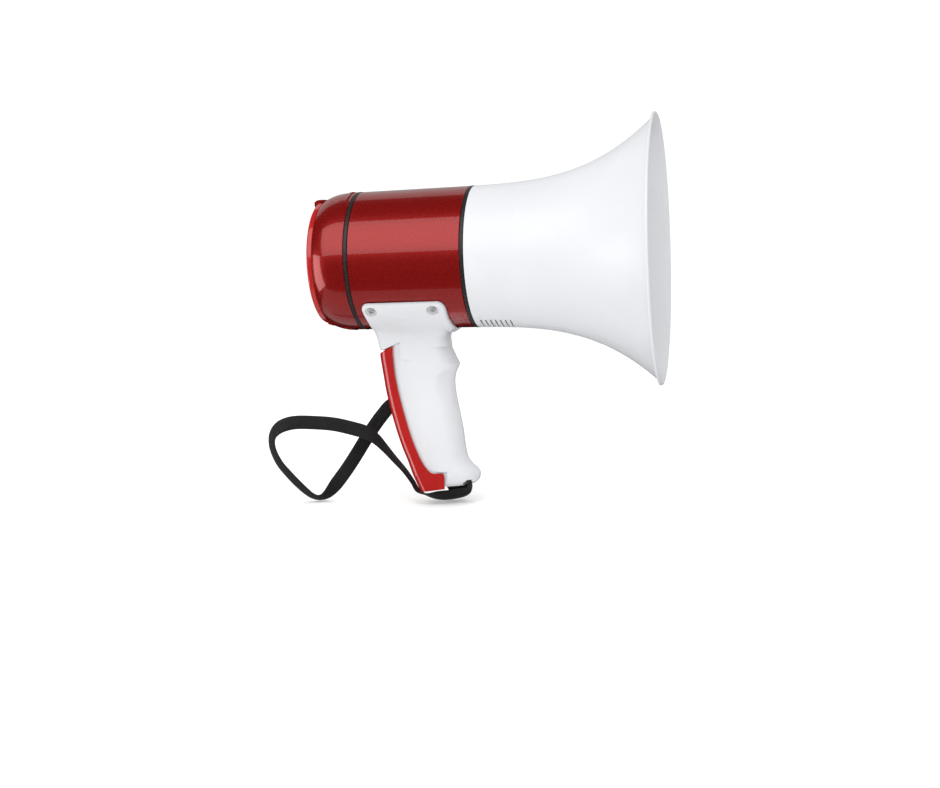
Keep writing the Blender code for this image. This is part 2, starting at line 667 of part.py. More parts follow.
def flange_side_view():
    top = AXIS_Z - 36.0
    left = arc((-34.0, top - 6.5), 6.5, 90, 180, 5)
    right = arc((25.9, top - 6.5), 6.5, 0, 90, 5)
    low = [(-39.0, 81.0), (-37.8, 66.0), (22.5, 66.0), (28.5, 70.0), (33.8, 75.0), (32.4, 84.0)]
    return right + left + low


def trigger_sweep_top():
    """Side view of the room for the trigger's top, on the grip's flanks."""
    return [(-42, 53.2), (-17.0, 64.2), (-17.0, 44.0), (-42, 40.0)]


def trigger_sweep_foot():
    return [(1.5, -46.5), (8.5, -51.4), (20.8, -51.6), (21.2, -74), (-20, -76), (-20, -48)]


def grip_shell(name, side, mats):
    shell = finish_mesh(name, grip_body(side), mats["white_plastic"])
    plate = tool(f"{name}_plate", flange(side))
    shape(plate, "INTERSECT", prism(flange_side_view(), -80, 80), "side_view")
    combine(shell, "UNION", plate, "flange")
    clear = [(-50, 0), (-50, FLANGE_IN_R), (45, FLANGE_IN_R), (45, 0)]
    cut(shell, spun(clear, 48), "body_clearance")
    y1, y2 = sorted((side * SPLIT, side * -9.0))
    cut(shell, block((-60, y1, -90), (60, y2, 100)), "split")
    far = side * 12.6
    y1, y2 = sorted((side * -1.0, far))
    upper = [(-24.8, 50), (-23.0, 32), (-20.8, 5), (19.8, 5)]
    upper += [(19.2, 27), (20.2, 42), (16, 60), (-20, 60)]
    lower = [(-15.2, -15), (-10.4, -35), (-6.0, -55), (21, -55), (22, -60.4), (37, -60.4)]
    lower += [(36.5, -54), (30, -47), (27, -38), (25.5, -15)]
    cut(shell, prism(upper, y1, y2), "upper_hollow")
    cut(shell, prism(lower, y1, y2), "lower_hollow")
    y1, y2 = sorted((side * CORE_HALF, side * 30))
    cut(shell, prism(trigger_sweep_top(), y1, y2), "trigger_top_room")
    cut(shell, prism(trigger_sweep_foot(), y1, y2), "trigger_foot_room")
    y1, y2 = sorted((side * 13.4, side * 30))
    corner = [(-42, 53.2), (-24.2, 61.0), (-24.2, 52.0), (-42, 48)]
    cut(shell, prism(corner, y1, y2), "ledge_corner")
    cut(shell, prism([(-42, 53.2), (-27.9, 59.4), (-27.9, 52), (-42, 48)], -25, 25), "ledge")
    cut(shell, rod((-30, 0, -5), (-10, 0, -5), 4.2, 20), "spring_pocket")
    cut(shell, block((-32, -3, 23), (-20, 3, 29)), "switch_window")
    px, pz = TRIGGER_PIN
    cut(shell, rod((px, -20, pz), (px, 20, pz), 1.58, 20), "pin_bore")
    if side < 0:
        cut(shell, block((34, -15, -72), (41.5, -1.2, -59)), "strap_slot")
    else:
        cut(shell, block((20.5, 4.8, -72), (35, 12.2, -59)), "strap_slot")
    frames = flange_screw_frames()[:2] if side > 0 else flange_screw_frames()[2:]
    recess = [(58, 0), (58, 1.8), (62.9, 1.8), (62.9, 5.2), (72, 5.2), (72, 0)]
    for n, frame in enumerate(frames):
        cut(shell, spun(recess, 20, frame), f"screw_recess_{n}")
    for n, (x, z) in enumerate(GRIP_SCREWS):
        if side > 0:
            hole = [(0, 0), (0, 1.7), (14.2, 1.7), (14.2, 3.4), (22, 3.4), (22, 0)]
            cut(shell, spun(hole, 16, aim((x, 0, z), (0, 1, 0))), f"grip_screw_{n}")
        else:
            cut(shell, rod((x, 1, z), (x, -14.6, z), 1.55, 16), f"grip_screw_{n}")


def screws(mats):
    head = [(54, 0), (54, 1.0), (55, 1.4), (63.2, 1.4), (63.2, 3.3), (64.2, 3.2), (64.8, 2.2)]
    head += [(64.8, 0)]
    for n, frame in enumerate(flange_screw_frames(), 1):
        finish_mesh(f"flange_screw_{n}", spun(head, 16, frame), mats["steel"])
    long = [(-14, 0), (-14, 1.4), (14.5, 1.4), (14.5, 3.0), (16.0, 2.6), (16.0, 0)]
    for n, (x, z) in enumerate(GRIP_SCREWS, 1):
        finish_mesh(f"grip_screw_{n}", spun(long, 16, aim((x, 0, z), (0, 1, 0))), mats["steel"])


# ---------------------------------------------------------------- trigger

# Chords across the trigger's side: outer (palm) point, inner point.
TRIGGER_STATIONS = [
    ((-36.8, 53.6), (-23.2, 60.0)),
    ((-36.7, 50.0), (-23.6, 51.0)),
    ((-34.9, 36.0), (-22.7, 36.0)),
    ((-32.4, 18.0), (-19.6, 18.0)),
    ((-28.9, 1.0), (-15.5, 0.0)),
    ((-25.0, -14.5), (-11.0, -17.0)),
    ((-20.3, -30.0), (-6.3, -31.0)),
    ((-16.0, -41.5), (-2.0, -41.0)),
    ((-13.2, -50.0), (2.5, -48.5)),
    ((-11.5, -55.0), (8.0, -52.8)),
    ((-10.0, -58.5), (17.6, -53.6)),
    ((-5.2, -69.6), (18.0, -66.6)),
]
TRIGGER_HALF = 17.9
TRIGGER_WALL = 2.0


def trigger_section(outer, inner):
    """Closed U, open towards the grip, with a well-rounded back."""
    outer, inner = Vector(outer), Vector(inner)
    length = (inner - outer).length
    flat = 9.9
    profile = [(length, TRIGGER_HALF)]
    for k in range(5):
        a = math.radians(22.5 * k)
        profile.append((9 - 9 * math.sin(a), flat + (TRIGGER_HALF - flat) * math.cos(a)))
    back = []
    for k in range(5):
        a = math.radians(90 - 22.5 * k)
        depth = TRIGGER_HALF - flat - TRIGGER_WALL
        back.append((9 - (9 - 2.1) * math.sin(a), flat + depth * math.cos(a)))
    back.append((length, TRIGGER_HALF - TRIGGER_WALL))
    left = profile + [(a, -y) for a, y in reversed(profile)]
    right = [(a, -y) for a, y in reversed(back)] + back
    loop = []
    for a, y in left + right:
        x, z = outer.lerp(inner, a / length)
        loop.append((x, y, z))
    return loop


def trigger(mats):
    px, pz = TRIGGER_PIN
    sections = [trigger_section(o, i) for o, i in TRIGGER_STATIONS]
    lever = finish_mesh("trigger", loft(sections), mats["red_plastic"], (px, 0, pz))
    cut(lever, rod((px, -17.2, pz), (px, 17.2, pz), 1.58, 20), "pin_bore")
    pin = rod((px, -17.0, pz), (px, 17.0, pz), 1.5, 20)
    finish_mesh("trigger_pin", pin, mats["steel"])
    body = block((-20.8, -3.2, 16), (-11, 3.2, 36))
    switch = finish_mesh("trigger_switch", body, mats["black_plastic"])
    join(switch, block((-25.6, -1.5, 24.5), (-20, 1.5, 27.5)), "plunger")


def trigger_spring(mats):
    """Compression spring between the grip's pocket and the trigger's back."""
    turns, radius, wire, steps = 4, 3.0, 0.45, 10
    start, end = -10.8, -23.6
    path = []
    for k in range(turns * steps + 1):
        a = 2 * math.pi * k / steps
        x = start + (end - start) * k / (turns * steps)
        path.append(Vector((x, radius * math.cos(a), -5 + radius * math.sin(a))))
    finish_mesh("trigger_spring", loft(tube_sections(path, wire, 5)), mats["steel"])


# ---------------------------------------------------------------- wrist strap

# The strap's centreline with the direction of its width at each point.
STRAP_ROUTE = [
    ((37.8, -8.0, -60.2), (0, 1, 0)),
    ((39.3, -8.0, -65.0), (0, 0.98, -0.20)),
    ((34.8, -8.0, -70.2), (0, 0.76, -0.65)),
    ((23.0, -8.0, -72.8), (0, 0.64, -0.77)),
    ((11.0, -8.0, -73.8), (0, 0.68, -0.73)),
    ((0.5, -8.0, -73.4), (0, 0.93, -0.37)),
    ((-8.4, -7.5, -69.4), (0, 1, 0)),
    ((-13.4, -7.0, -61.4), (0, 1, 0.03)),
    ((-20.0, -6.5, -52.0), (0, 1, 0.1)),
    ((-29.0, -6.0, -41.8), (0.08, 0.98, 0.15)),
    ((-37.8, -6.0, -31.5), (0.18, 0.95, 0.24)),
    ((-47.0, -6.0, -22.0), (0.32, 0.80, 0.50)),
    ((-55.3, -7.0, -16.8), (0.30, 0.53, 0.79)),
    ((-64.3, -7.5, -13.8), (0.26, 0.15, 0.95)),
    ((-82.5, -8.0, -9.4), (0.17, 0.14, 0.98)),
    ((-101.0, -8.0, -7.6), (0.07, 0.11, 0.99)),
    ((-119.5, -8.0, -7.2), (-0.06, 0.09, 0.99)),
    ((-131.8, -7.5, -9.8), (-0.46, 0.30, 0.84)),
    ((-139.7, -6.5, -14.6), (-0.68, 0.54, 0.50)),
    ((-144.0, -5.3, -21.6), (-0.73, 0.68, 0.05)),
    ((-144.0, -4.0, -32.0), (-0.70, 0.68, -0.21)),
    ((-139.0, -2.5, -44.8), (-0.67, 0.64, -0.37)),
    ((-130.2, -1.0, -56.5), (-0.63, 0.62, -0.47)),
    ((-119.5, 0.6, -68.2), (-0.58, 0.65, -0.50)),
    ((-111.0, 2.2, -75.6), (-0.42, 0.76, -0.50)),
    ((-103.6, 3.8, -77.6), (-0.14, 0.85, -0.50)),
    ((-96.0, 5.6, -73.6), (0.31, 0.74, -0.59)),
    ((-85.0, 8.2, -60.4), (0.77, 0.11, -0.63)),
    ((-76.6, 10.6, -49.0), (0.80, 0.12, -0.58)),
    ((-69.3, 13.0, -38.0), (0.82, 0.13, -0.56)),
    ((-63.4, 15.2, -28.6), (0.82, 0.13, -0.56)),
    ((-54.9, 18.0, -15.8), (0.80, 0.12, -0.59)),
    ((-46.6, 20.6, -4.8), (0.75, 0.08, -0.65)),
    ((-38.0, 22.8, 4.2), (0.45, 0, -0.89)),
    ((-27.0, 24.2, 6.8), (-0.15, 0, -0.99)),
    ((-16.0, 24.6, -0.5), (-0.68, 0, -0.73)),
    ((-6.5, 24.3, -14.0), (-0.90, 0, -0.43)),
    ((0.5, 24.0, -31.0), (-0.95, 0, -0.3)),
    ((6.5, 23.4, -48.0), (-0.95, 0, -0.3)),
    ((13.5, 21.6, -62.5), (-0.95, 0, -0.3)),
    ((20.5, 16.6, -71.6), (-0.98, 0, -0.2)),
    ((26.0, 11.2, -71.6), (-1, 0, 0)),
    ((27.8, 8.8, -65.5), (-1, 0, 0)),
    ((27.8, 8.5, -60.2), (-1, 0, 0)),
]


def strap(mats):
    per_span = 2
    centre = curve_points([p for p, _ in STRAP_ROUTE], per_span)
    widths = curve_points([w for _, w in STRAP_ROUTE], per_span)
    sections = []
    for i, (p, across) in enumerate(zip(centre, widths)):
        tangent = (centre[min(i + 1, len(centre) - 1)] - centre[max(i - 1, 0)]).normalized()
        across = (across - tangent * across.dot(tangent)).normalized()
        normal = tangent.cross(across)
        w, n = across * STRAP_WIDTH / 2, normal * STRAP_THICK / 2
        sections.append([p + w + n, p - w + n, p - w - n, p + w - n])
    finish_mesh("strap", loft(sections), mats["webbing"])
    bar = rod((24.5, 8.5, -57.0), (35.0, -8.0, -57.0), 2.2, 12)
    finish_mesh("strap_anchor", bar, mats["steel"])


def build():
    clear_scene()
    mats = make_materials()
    horn_bell(mats)
    reflector(mats)
    tone_tube(mats)
    driver(mats)
    seam_ring("front_seam_ring", FRONT_SEAM_X, BODY_FRONT_R + 0.2, mats)
    seam_ring("rear_seam_ring", REAR_SEAM_X, BODY_REAR_R + 0.2, mats)
    body_tube(mats)
    rear_housing(mats)
    hinge_pins(mats)
    door_latch(mats)
    rear_door(mats)
    label_plate(mats)
    buttons(mats)
    volume(mats)
    door_fittings(mats)
    battery(mats)
    battery_lead(mats)
    amplifier(mats)
    grip_shell("handle_right_shell", -1, mats)
    grip_shell("handle_left_shell", 1, mats)
    screws(mats)
    trigger(mats)
    trigger_spring(mats)
    strap(mats)


build()
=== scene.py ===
"""Looks of the handheld megaphone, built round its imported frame.

The frame's origin is the centre of the grip, +X runs forward along the horn and +Z is up.
Lengths here are millimetres, and to_object() turns them into the frame's metres.
"""
import json
import math

import bmesh
import bpy
from mathutils import Matrix, Vector


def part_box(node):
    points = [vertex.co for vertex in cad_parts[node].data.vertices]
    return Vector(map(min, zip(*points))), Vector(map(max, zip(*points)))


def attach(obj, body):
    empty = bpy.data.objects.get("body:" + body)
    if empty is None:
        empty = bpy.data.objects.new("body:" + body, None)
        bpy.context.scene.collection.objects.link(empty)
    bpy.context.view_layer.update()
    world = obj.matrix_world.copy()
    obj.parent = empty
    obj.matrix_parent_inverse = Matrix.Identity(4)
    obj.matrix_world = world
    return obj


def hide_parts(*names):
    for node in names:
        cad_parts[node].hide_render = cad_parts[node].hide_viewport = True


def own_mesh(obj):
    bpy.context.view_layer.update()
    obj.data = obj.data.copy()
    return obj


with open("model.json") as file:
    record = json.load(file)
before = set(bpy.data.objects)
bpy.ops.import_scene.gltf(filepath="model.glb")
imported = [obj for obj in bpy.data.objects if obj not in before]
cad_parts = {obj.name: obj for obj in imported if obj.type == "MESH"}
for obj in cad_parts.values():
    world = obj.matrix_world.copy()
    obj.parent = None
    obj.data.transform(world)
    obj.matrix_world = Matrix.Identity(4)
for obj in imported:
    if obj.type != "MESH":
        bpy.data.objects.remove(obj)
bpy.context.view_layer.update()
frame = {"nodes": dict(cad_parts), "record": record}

MM = 0.001


def low(node):
    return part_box(node)[0] / MM


def high(node):
    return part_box(node)[1] / MM


# Driving dimensions, read from the frame
AXIS_Z = (low("body_tube").z + high("body_tube").z) / 2
BODY_FRONT_R = (high("body_tube").z - low("body_tube").z) / 2
BODY_REAR_R = high("rear_seam_ring").z - AXIS_Z - 0.2
BODY_LOW_X = low("body_tube").x
BODY_HIGH_X = high("body_tube").x
BELL_START_X = low("horn_bell").x
MOUTH_X = high("horn_bell").x
BELL_R = high("horn_bell").z - AXIS_Z
CAP_START_X = high("rear_housing").x
CAP_END_X = low("rear_housing").x
DOOR_REAR_X = low("rear_door").x
RING_R = high("rear_door").y
FLOOR_Z = min(low("strap").z, low("trigger").z) - 0.1
WINDOW_Z = (low("button_bezel").z + high("button_bezel").z) / 2
SLIDER_Z = (low("volume_knob").z + high("volume_knob").z) / 2
KNOB_Y = (low("volume_knob").y + high("volume_knob").y) / 2
MIC_Z = (low("mic_capsule").z + high("mic_capsule").z) / 2
DOOR_PIN = ((low("door_hinge_pin") + high("door_hinge_pin")) / 2).xz
LATCH_PIN = ((low("latch_pin") + high("latch_pin")) / 2).xz

# Sizes shared by several pieces
DOOR_FLOOR_X = DOOR_REAR_X + 3.4
DOOR_BACK_X = DOOR_REAR_X + 5.2
RECESS_R = 46.0
GRIP_HALF = 17.5
CORE_HALF = 15.6
FLANGE_IN_R = 61.5
FLANGE_OUT_R = 64.9
SCREW_X = (-32.7, 21.5)
SCREW_ANGLE = 47.5
GRIP_SCREWS = [(2.0, 55.0), (8.0, -5.0), (26.0, -50.0)]
SLITS = 7
FIRST_SLIT_X = 58.0
SLIT_PITCH = 4.3
SLIT_WIDTH = 1.5
SLIT_SWEEP = 58  # degrees round the underside of the bell
STRAP_WIDTH = 12.3
STRAP_THICK = 1.3
ROUND = 144  # facets round the large turned pieces

HORN = Matrix.Translation((0, 0, AXIS_Z))


# ---------------------------------------------------------------- camera, light and floor

def camera():
    """A long lens from the grip's right side, a little ahead of square and level with the horn."""
    yaw, pitch, roll = math.radians(12.63), math.radians(-5.59), math.radians(-2.22)
    data = bpy.data.cameras.new("camera")
    data.lens = 53.6
    data.clip_start = 0.05
    cam = bpy.data.objects.new("camera", data)
    ahead = Vector((-math.sin(yaw) * math.cos(pitch), math.cos(yaw) * math.cos(pitch), math.sin(pitch)))
    right = ahead.cross(Vector((0, 0, 1))).normalized()
    up = right.cross(ahead)
    image_right = right * math.cos(roll) + up * math.sin(roll)
    image_up = up * math.cos(roll) - right * math.sin(roll)
    turn = Matrix((image_right, image_up, -ahead)).transposed().to_4x4()
    place = Vector((MOUTH_X + 98.2, -1195.3, AXIS_Z)) * MM
    cam.matrix_world = Matrix.Translation(place) @ turn
    bpy.context.scene.collection.objects.link(cam)
    bpy.context.scene.camera = cam


def panel(name, place, target, size, power, lit=True):
    """Rectangular area light; place, target and size are in metres. Unlit ones only show as reflections."""
    data = bpy.data.lights.new(name, "AREA")
    data.shape = "RECTANGLE"
    data.size, data.size_y = size
    data.energy = power
    lamp = bpy.data.objects.new(name, data)
    lamp.location = place
    lamp.rotation_euler = (Vector(target) - Vector(place)).to_track_quat("-Z", "Y").to_euler()
    lamp.visible_diffuse = lit
    lamp.visible_camera = False
    bpy.context.scene.collection.objects.link(lamp)


def lights():
    """White surroundings that light every side softly; only the panels show as reflections."""
    panel("front_window", (-0.35, -0.92, 0.93), (-0.35, 0.0, 0.275), (2.0, 1.3), 11)
    panel("back_wall", (-0.2, 1.6, 1.0), (-0.2, 0.0, 0.3), (4.0, 2.4), 13)
    panel("left_strip", (-1.14, -0.51, -0.14), (-0.02, 0.0, -0.02), (0.6, 0.95), 4.6, lit=False)
    panel("table", (-0.1, 0.07, -0.9), (-0.1, 0.07, 0.0), (2.4, 1.9), 5, lit=False)
    world = bpy.data.worlds.new("studio")
    bpy.context.scene.world = world
    world.use_nodes = True
    sky = world.node_tree.nodes["Background"]
    sky.inputs["Color"].default_value = (1.0, 1.0, 1.0, 1)
    sky.inputs["Strength"].default_value = 1.1
    world.cycles_visibility.glossy = False
    bpy.context.scene.view_settings.view_transform = "Standard"


def floor():
    mesh = bpy.data.meshes.new("floor")
    half = 3.0
    corners = [(-half, -half, 0), (half, -half, 0), (half, half, 0), (-half, half, 0)]
    mesh.from_pydata(corners, [], [(0, 1, 2, 3)])
    obj = bpy.data.objects.new("floor", mesh)
    obj.location = (0, 0, FLOOR_Z * MM)
    obj.visible_glossy = False
    mat = Material("floor_paper", (0.96, 0.96, 0.96), 0.9)
    mat.set("Specular IOR Level", 0.0)
    mat.shade("Base Color", mat.ramp(mat.noise(3.0), (0.95, 0.95, 0.95), (0.97, 0.97, 0.97)))
    obj.data.materials.append(mat.mat)
    bpy.context.scene.collection.objects.link(obj)


# ---------------------------------------------------------------- materials

class Material:
    """A Principled material with short calls for the nodes used here. Scales are per metre."""

    def __init__(self, name, colour, roughness, metallic=0.0):
        self.mat = bpy.data.materials.new(name)
        self.mat.use_nodes = True
        self.tree = self.mat.node_tree
        self.shader = self.tree.nodes["Principled BSDF"]
        self.set("Base Color", (*colour, 1))
        self.set("Roughness", roughness)
        self.set("Metallic", metallic)
        self.place = self.node("ShaderNodeTexCoord").outputs["Object"]

    def node(self, kind):
        return self.tree.nodes.new(kind)

    def set(self, socket, value):
        self.shader.inputs[socket].default_value = value

    def link(self, a, b):
        self.tree.links.new(a, b)

    def shade(self, socket, source):
        self.link(source, self.shader.inputs[socket])

    def stretched(self, scale):
        mapping = self.node("ShaderNodeMapping")
        mapping.inputs["Scale"].default_value = scale
        self.link(self.place, mapping.inputs["Vector"])
        return mapping.outputs["Vector"]

    def noise(self, scale, detail=3.0, rough=0.5, vector=None):
        tex = self.node("ShaderNodeTexNoise")
        tex.inputs["Scale"].default_value = scale
        tex.inputs["Detail"].default_value = detail
        tex.inputs["Roughness"].default_value = rough
        self.link(vector or self.place, tex.inputs["Vector"])
        return tex.outputs["Fac"]

    def cells(self, scale):
        """A random value for each grain."""
        tex = self.node("ShaderNodeTexVoronoi")
        tex.inputs["Scale"].default_value = scale
        self.link(self.place, tex.inputs["Vector"])
        split = self.node("ShaderNodeSeparateColor")
        self.link(tex.outputs["Color"], split.inputs["Color"])
        return split.outputs["Red"]

    def ramp(self, source, first, last, start=0.3, end=0.7):
        ramp = self.node("ShaderNodeValToRGB")
        a, b = ramp.color_ramp.elements
        a.position, b.position = start, end
        a.color = (*first, 1)
        b.color = (*last, 1)
        self.link(source, ramp.inputs["Fac"])
        return ramp.outputs["Color"]

    def between(self, source, first, last, start=0.3, end=0.7):
        """A number from first to last as source goes from start to end."""
        span = self.node("ShaderNodeMapRange")
        names = ("From Min", "From Max", "To Min", "To Max")
        for name, value in zip(names, (start, end, first, last)):
            span.inputs[name].default_value = value
        self.link(source, span.inputs["Value"])
        return span.outputs["Result"]

    def sum(self, a, b, share=0.5):
        mix = self.node("ShaderNodeMix")
        mix.inputs["Factor"].default_value = share
        self.link(a, mix.inputs["A"])
        self.link(b, mix.inputs["B"])
        return mix.outputs["Result"]

    def relief(self, height, depth):
        """Bump of depth millimetres."""
        bump = self.node("ShaderNodeBump")
        bump.inputs["Strength"].default_value = 1.0
        bump.inputs["Distance"].default_value = depth * MM
        self.link(height, bump.inputs["Height"])
        self.shade("Normal", bump.outputs["Normal"])


def lacquer():
    """Dark red metallic lacquer: small bright flakes under a clear coat with faint orange peel."""
    mat = Material("red_metallic_lacquer", (0.2, 0.006, 0.005), 0.3, 0.6)
    flakes = mat.cells(2600)
    mat.shade("Base Color", mat.ramp(flakes, (0.30, 0.0035, 0.003), (0.40, 0.012, 0.010), 0.25, 0.95))
    mat.shade("Roughness", mat.between(mat.noise(700), 0.26, 0.34))
    mat.set("Coat Weight", 1.0)
    mat.set("Coat Roughness", 0.03)
    peel = mat.sum(mat.noise(1.0, 1.0, 0.5, mat.stretched((60, 260, 260))), mat.noise(60, 1.0), 0.35)
    mat.relief(peel, 0.010)
    return mat.mat


def moulded(name, dark, light, rough=(0.2, 0.3), depth=0.010, grain=500, coat=0.0):
    """Injection-moulded plastic: faint flow marks in the colour and a slightly uneven skin."""
    mat = Material(name, light, rough[0])
    flow = mat.noise(18, 4.0, 0.6)
    mat.shade("Base Color", mat.ramp(flow, dark, light))
    mat.shade("Roughness", mat.between(mat.noise(240, 4.0), *rough))
    if coat:
        mat.set("Coat Weight", coat)
        mat.set("Coat Roughness", 0.05)
    mat.relief(mat.noise(grain, 2.0), depth)
    return mat.mat


def metal(name, dark, light, rough=(0.25, 0.4), grain=(30, 30, 900), depth=0.01):
    """Metal drawn or brushed along the axes where grain is small."""
    mat = Material(name, light, rough[0], 0.6)
    lines = mat.noise(1.0, 4.0, 0.6, mat.stretched(grain))
    mat.shade("Base Color", mat.ramp(lines, dark, light))
    mat.shade("Roughness", mat.between(lines, *rough))
    mat.relief(lines, depth)
    return mat.mat


def webbing():
    """Black nylon: matt, with a fine twill over the ribs that the mesh holds."""
    mat = Material("nylon_webbing", (0.012, 0.012, 0.013), 0.75)
    yarn = mat.noise(1.0, 3.0, 0.6, mat.stretched((2600, 2600, 2600)))
    mat.shade("Base Color", mat.ramp(yarn, (0.004, 0.004, 0.0044), (0.013, 0.013, 0.0135)))
    mat.shade("Roughness", mat.between(yarn, 0.6, 0.85))
    mat.set("Sheen Weight", 0.1)
    mat.set("Sheen Roughness", 0.4)
    mat.relief(yarn, 0.08)
    return mat.mat


def rubber():
    mat = Material("seam_rubber", (0.012, 0.012, 0.012), 0.4)
    grain = mat.noise(900, 3.0)
    mat.shade("Base Color", mat.ramp(grain, (0.011, 0.011, 0.011), (0.022, 0.022, 0.022)))
    mat.shade("Roughness", mat.between(grain, 0.32, 0.5))
    mat.relief(grain, 0.02)
    return mat.mat


def ferrite():
    mat = Material("ferrite_grain", (0.06, 0.06, 0.06), 0.7)
    grain = mat.cells(1200)
    mat.shade("Base Color", mat.ramp(grain, (0.045, 0.045, 0.045), (0.085, 0.085, 0.085)))
    mat.relief(grain, 0.03)
    return mat.mat


def board():
    """Green solder mask with copper tracks under it."""
    mat = Material("solder_mask", (0.02, 0.16, 0.07), 0.35)
    tracks = mat.cells(260)
    mat.shade("Base Color", mat.ramp(tracks, (0.012, 0.12, 0.05), (0.03, 0.22, 0.09), 0.45, 0.55))
    mat.relief(tracks, 0.03)
    return mat.mat


def make_materials():
    return {
        "red_lacquer": lacquer(),
        "red_plastic": moulded("red_gloss_plastic", (0.34, 0.009, 0.008), (0.40, 0.012, 0.010),
                               (0.16, 0.22), coat=1.0),
        "white_plastic": moulded("white_gloss_plastic", (0.595, 0.602, 0.622), (0.615, 0.622, 0.642),
                                 (0.3, 0.33), depth=0.006, grain=60),
        "grey_plastic": moulded("grey_plastic", (0.50, 0.50, 0.52), (0.57, 0.57, 0.59), (0.4, 0.5)),
        "black_plastic": moulded("black_satin_plastic", (0.012, 0.012, 0.013), (0.02, 0.02, 0.022),
                                 (0.3, 0.45), depth=0.02, grain=900),
        "black_rubber": rubber(),
        "silver_plate": metal("silver_foil", (0.48, 0.47, 0.49), (0.56, 0.55, 0.57),
                              (0.28, 0.4), (200, 30, 1500), 0.004),
        "steel": metal("zinc_plated_steel", (0.50, 0.50, 0.50), (0.66, 0.66, 0.65),
                       (0.2, 0.35), (900, 900, 900)),
        "aluminium": metal("bare_aluminium", (0.62, 0.63, 0.64), (0.76, 0.77, 0.78)),
        "ferrite": ferrite(),
        "circuit_board": board(),
        "copper": metal("wound_copper", (0.5, 0.2, 0.09), (0.7, 0.32, 0.16),
                        grain=(40, 40, 2500), depth=0.05),
        "brass": metal("turned_brass", (0.6, 0.42, 0.16), (0.74, 0.54, 0.24), grain=(2000, 40, 40)),
        "webbing": webbing(),
        "red_wire": moulded("red_lead", (0.5, 0.012, 0.012), (0.6, 0.02, 0.02), (0.35, 0.45)),
        "print_black": moulded("printed_black", (0.010, 0.010, 0.010), (0.018, 0.018, 0.018), (0.4, 0.5)),
        "grille_cloth": grille_cloth(),
    }


def grille_cloth():
    """Black acoustic cloth behind the microphone slots."""
    mat = Material("acoustic_cloth", (0.01, 0.01, 0.01), 0.9)
    weave = mat.cells(2400)
    mat.shade("Base Color", mat.ramp(weave, (0.006, 0.006, 0.006), (0.03, 0.03, 0.03)))
    mat.relief(weave, 0.1)
    return mat.mat


# ---------------------------------------------------------------- mesh tools

def to_object(name, bm, mat=None):
    """Turn a bmesh in millimetres into an object in metres, smooth but for its sharp edges."""
    bmesh.ops.recalc_face_normals(bm, faces=bm.faces)
    bmesh.ops.scale(bm, vec=(MM, MM, MM), verts=bm.verts)
    mesh = bpy.data.meshes.new(name)
    bm.to_mesh(mesh)
    bm.free()
    obj = bpy.data.objects.new(name, mesh)
    bpy.context.scene.collection.objects.link(obj)
    if mat:
        mesh.materials.append(mat)
    sharpen(mesh)
    return obj


def sharpen(mesh, angle=32):
    mesh.shade_smooth()
    mesh.set_sharp_from_angle(angle=math.radians(angle))


def carve(obj, *steps):
    """Apply (operation, solid) steps to obj's mesh. A solid is a bmesh in millimetres or an object."""
    tools = []
    for operation, solid in steps:
        tool = solid if isinstance(solid, bpy.types.Object) else to_object("tool", solid)
        tools.append(tool)
        mod = obj.modifiers.new("carve", "BOOLEAN")
        mod.operation = operation
        mod.object = tool
        mod.solver = "EXACT"
    bpy.context.view_layer.update()
    shaped = obj.evaluated_get(bpy.context.evaluated_depsgraph_get())
    mesh = bpy.data.meshes.new_from_object(shaped)
    mats = list(obj.data.materials)
    obj.modifiers.clear()
    obj.data = mesh
    mesh.materials.clear()
    for mat in mats:
        mesh.materials.append(mat)
    mesh.polygons.foreach_set("material_index", [0] * len(mesh.polygons))
    sharpen(mesh)
    for tool in tools:
        bpy.data.objects.remove(tool)
    return obj


def add(name, bm, mats, slot, body="root", stands_for=()):
    """A finished piece with its material, body and the CAD nodes that it stands for."""
    return settle(to_object(name, bm, mats[slot]), body, stands_for)


def settle(obj, body="root", stands_for=()):
    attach(obj, body)
    if stands_for:
        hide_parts(*stands_for)
    return obj


def spun(outline, steps=ROUND, place=HORN, start=0.0, sweep=360.0):
    """Turn a closed outline of (distance along local X, radius) about the X axis of place."""
    bm = bmesh.new()
    full = sweep >= 360.0
    count = steps if full else steps + 1
    rings = []
    for x, r in outline:
        if r < 1e-6:
            rings.append([bm.verts.new(place @ Vector((x, 0, 0)))] * count)
            continue
        ring = []
        for k in range(count):
            a = math.radians(start + sweep * k / steps)
            ring.append(bm.verts.new(place @ Vector((x, r * math.sin(a), r * math.cos(a)))))
        rings.append(ring)
    for i, ring in enumerate(rings):
        after = rings[(i + 1) % len(rings)]
        for k in range(steps):
            j = (k + 1) % count
            corners = list(dict.fromkeys((ring[k], ring[j], after[j], after[k])))
            if len(corners) > 2:
                bm.faces.new(corners)
    if not full:
        bm.faces.new([ring[0] for ring in rings])
        bm.faces.new([ring[-1] for ring in rings])
    return bm


def loft(sections):
    """Skin closed loops of points, one after the other, with a flat cap at each end."""
    bm = bmesh.new()
    rows = [[bm.verts.new(p) for p in section] for section in sections]
    for row, after in zip(rows, rows[1:]):
        for k in range(len(row)):
            j = (k + 1) % len(row)
            bm.faces.new((row[k], row[j], after[j], after[k]))
    bm.faces.new(rows[0])
    bm.faces.new(rows[-1])
    return bm


def prism(points, start, end, along="Y"):
    """Extrude an outline: (x, z) along Y, (y, z) along X, or (x, y) along Z."""
    place = {
        "Y": lambda a, b, c: (a, c, b),
        "X": lambda a, b, c: (c, a, b),
        "Z": lambda a, b, c: (a, b, c),
    }[along]
    return loft([[place(a, b, c) for a, b in points] for c in (start, end)])


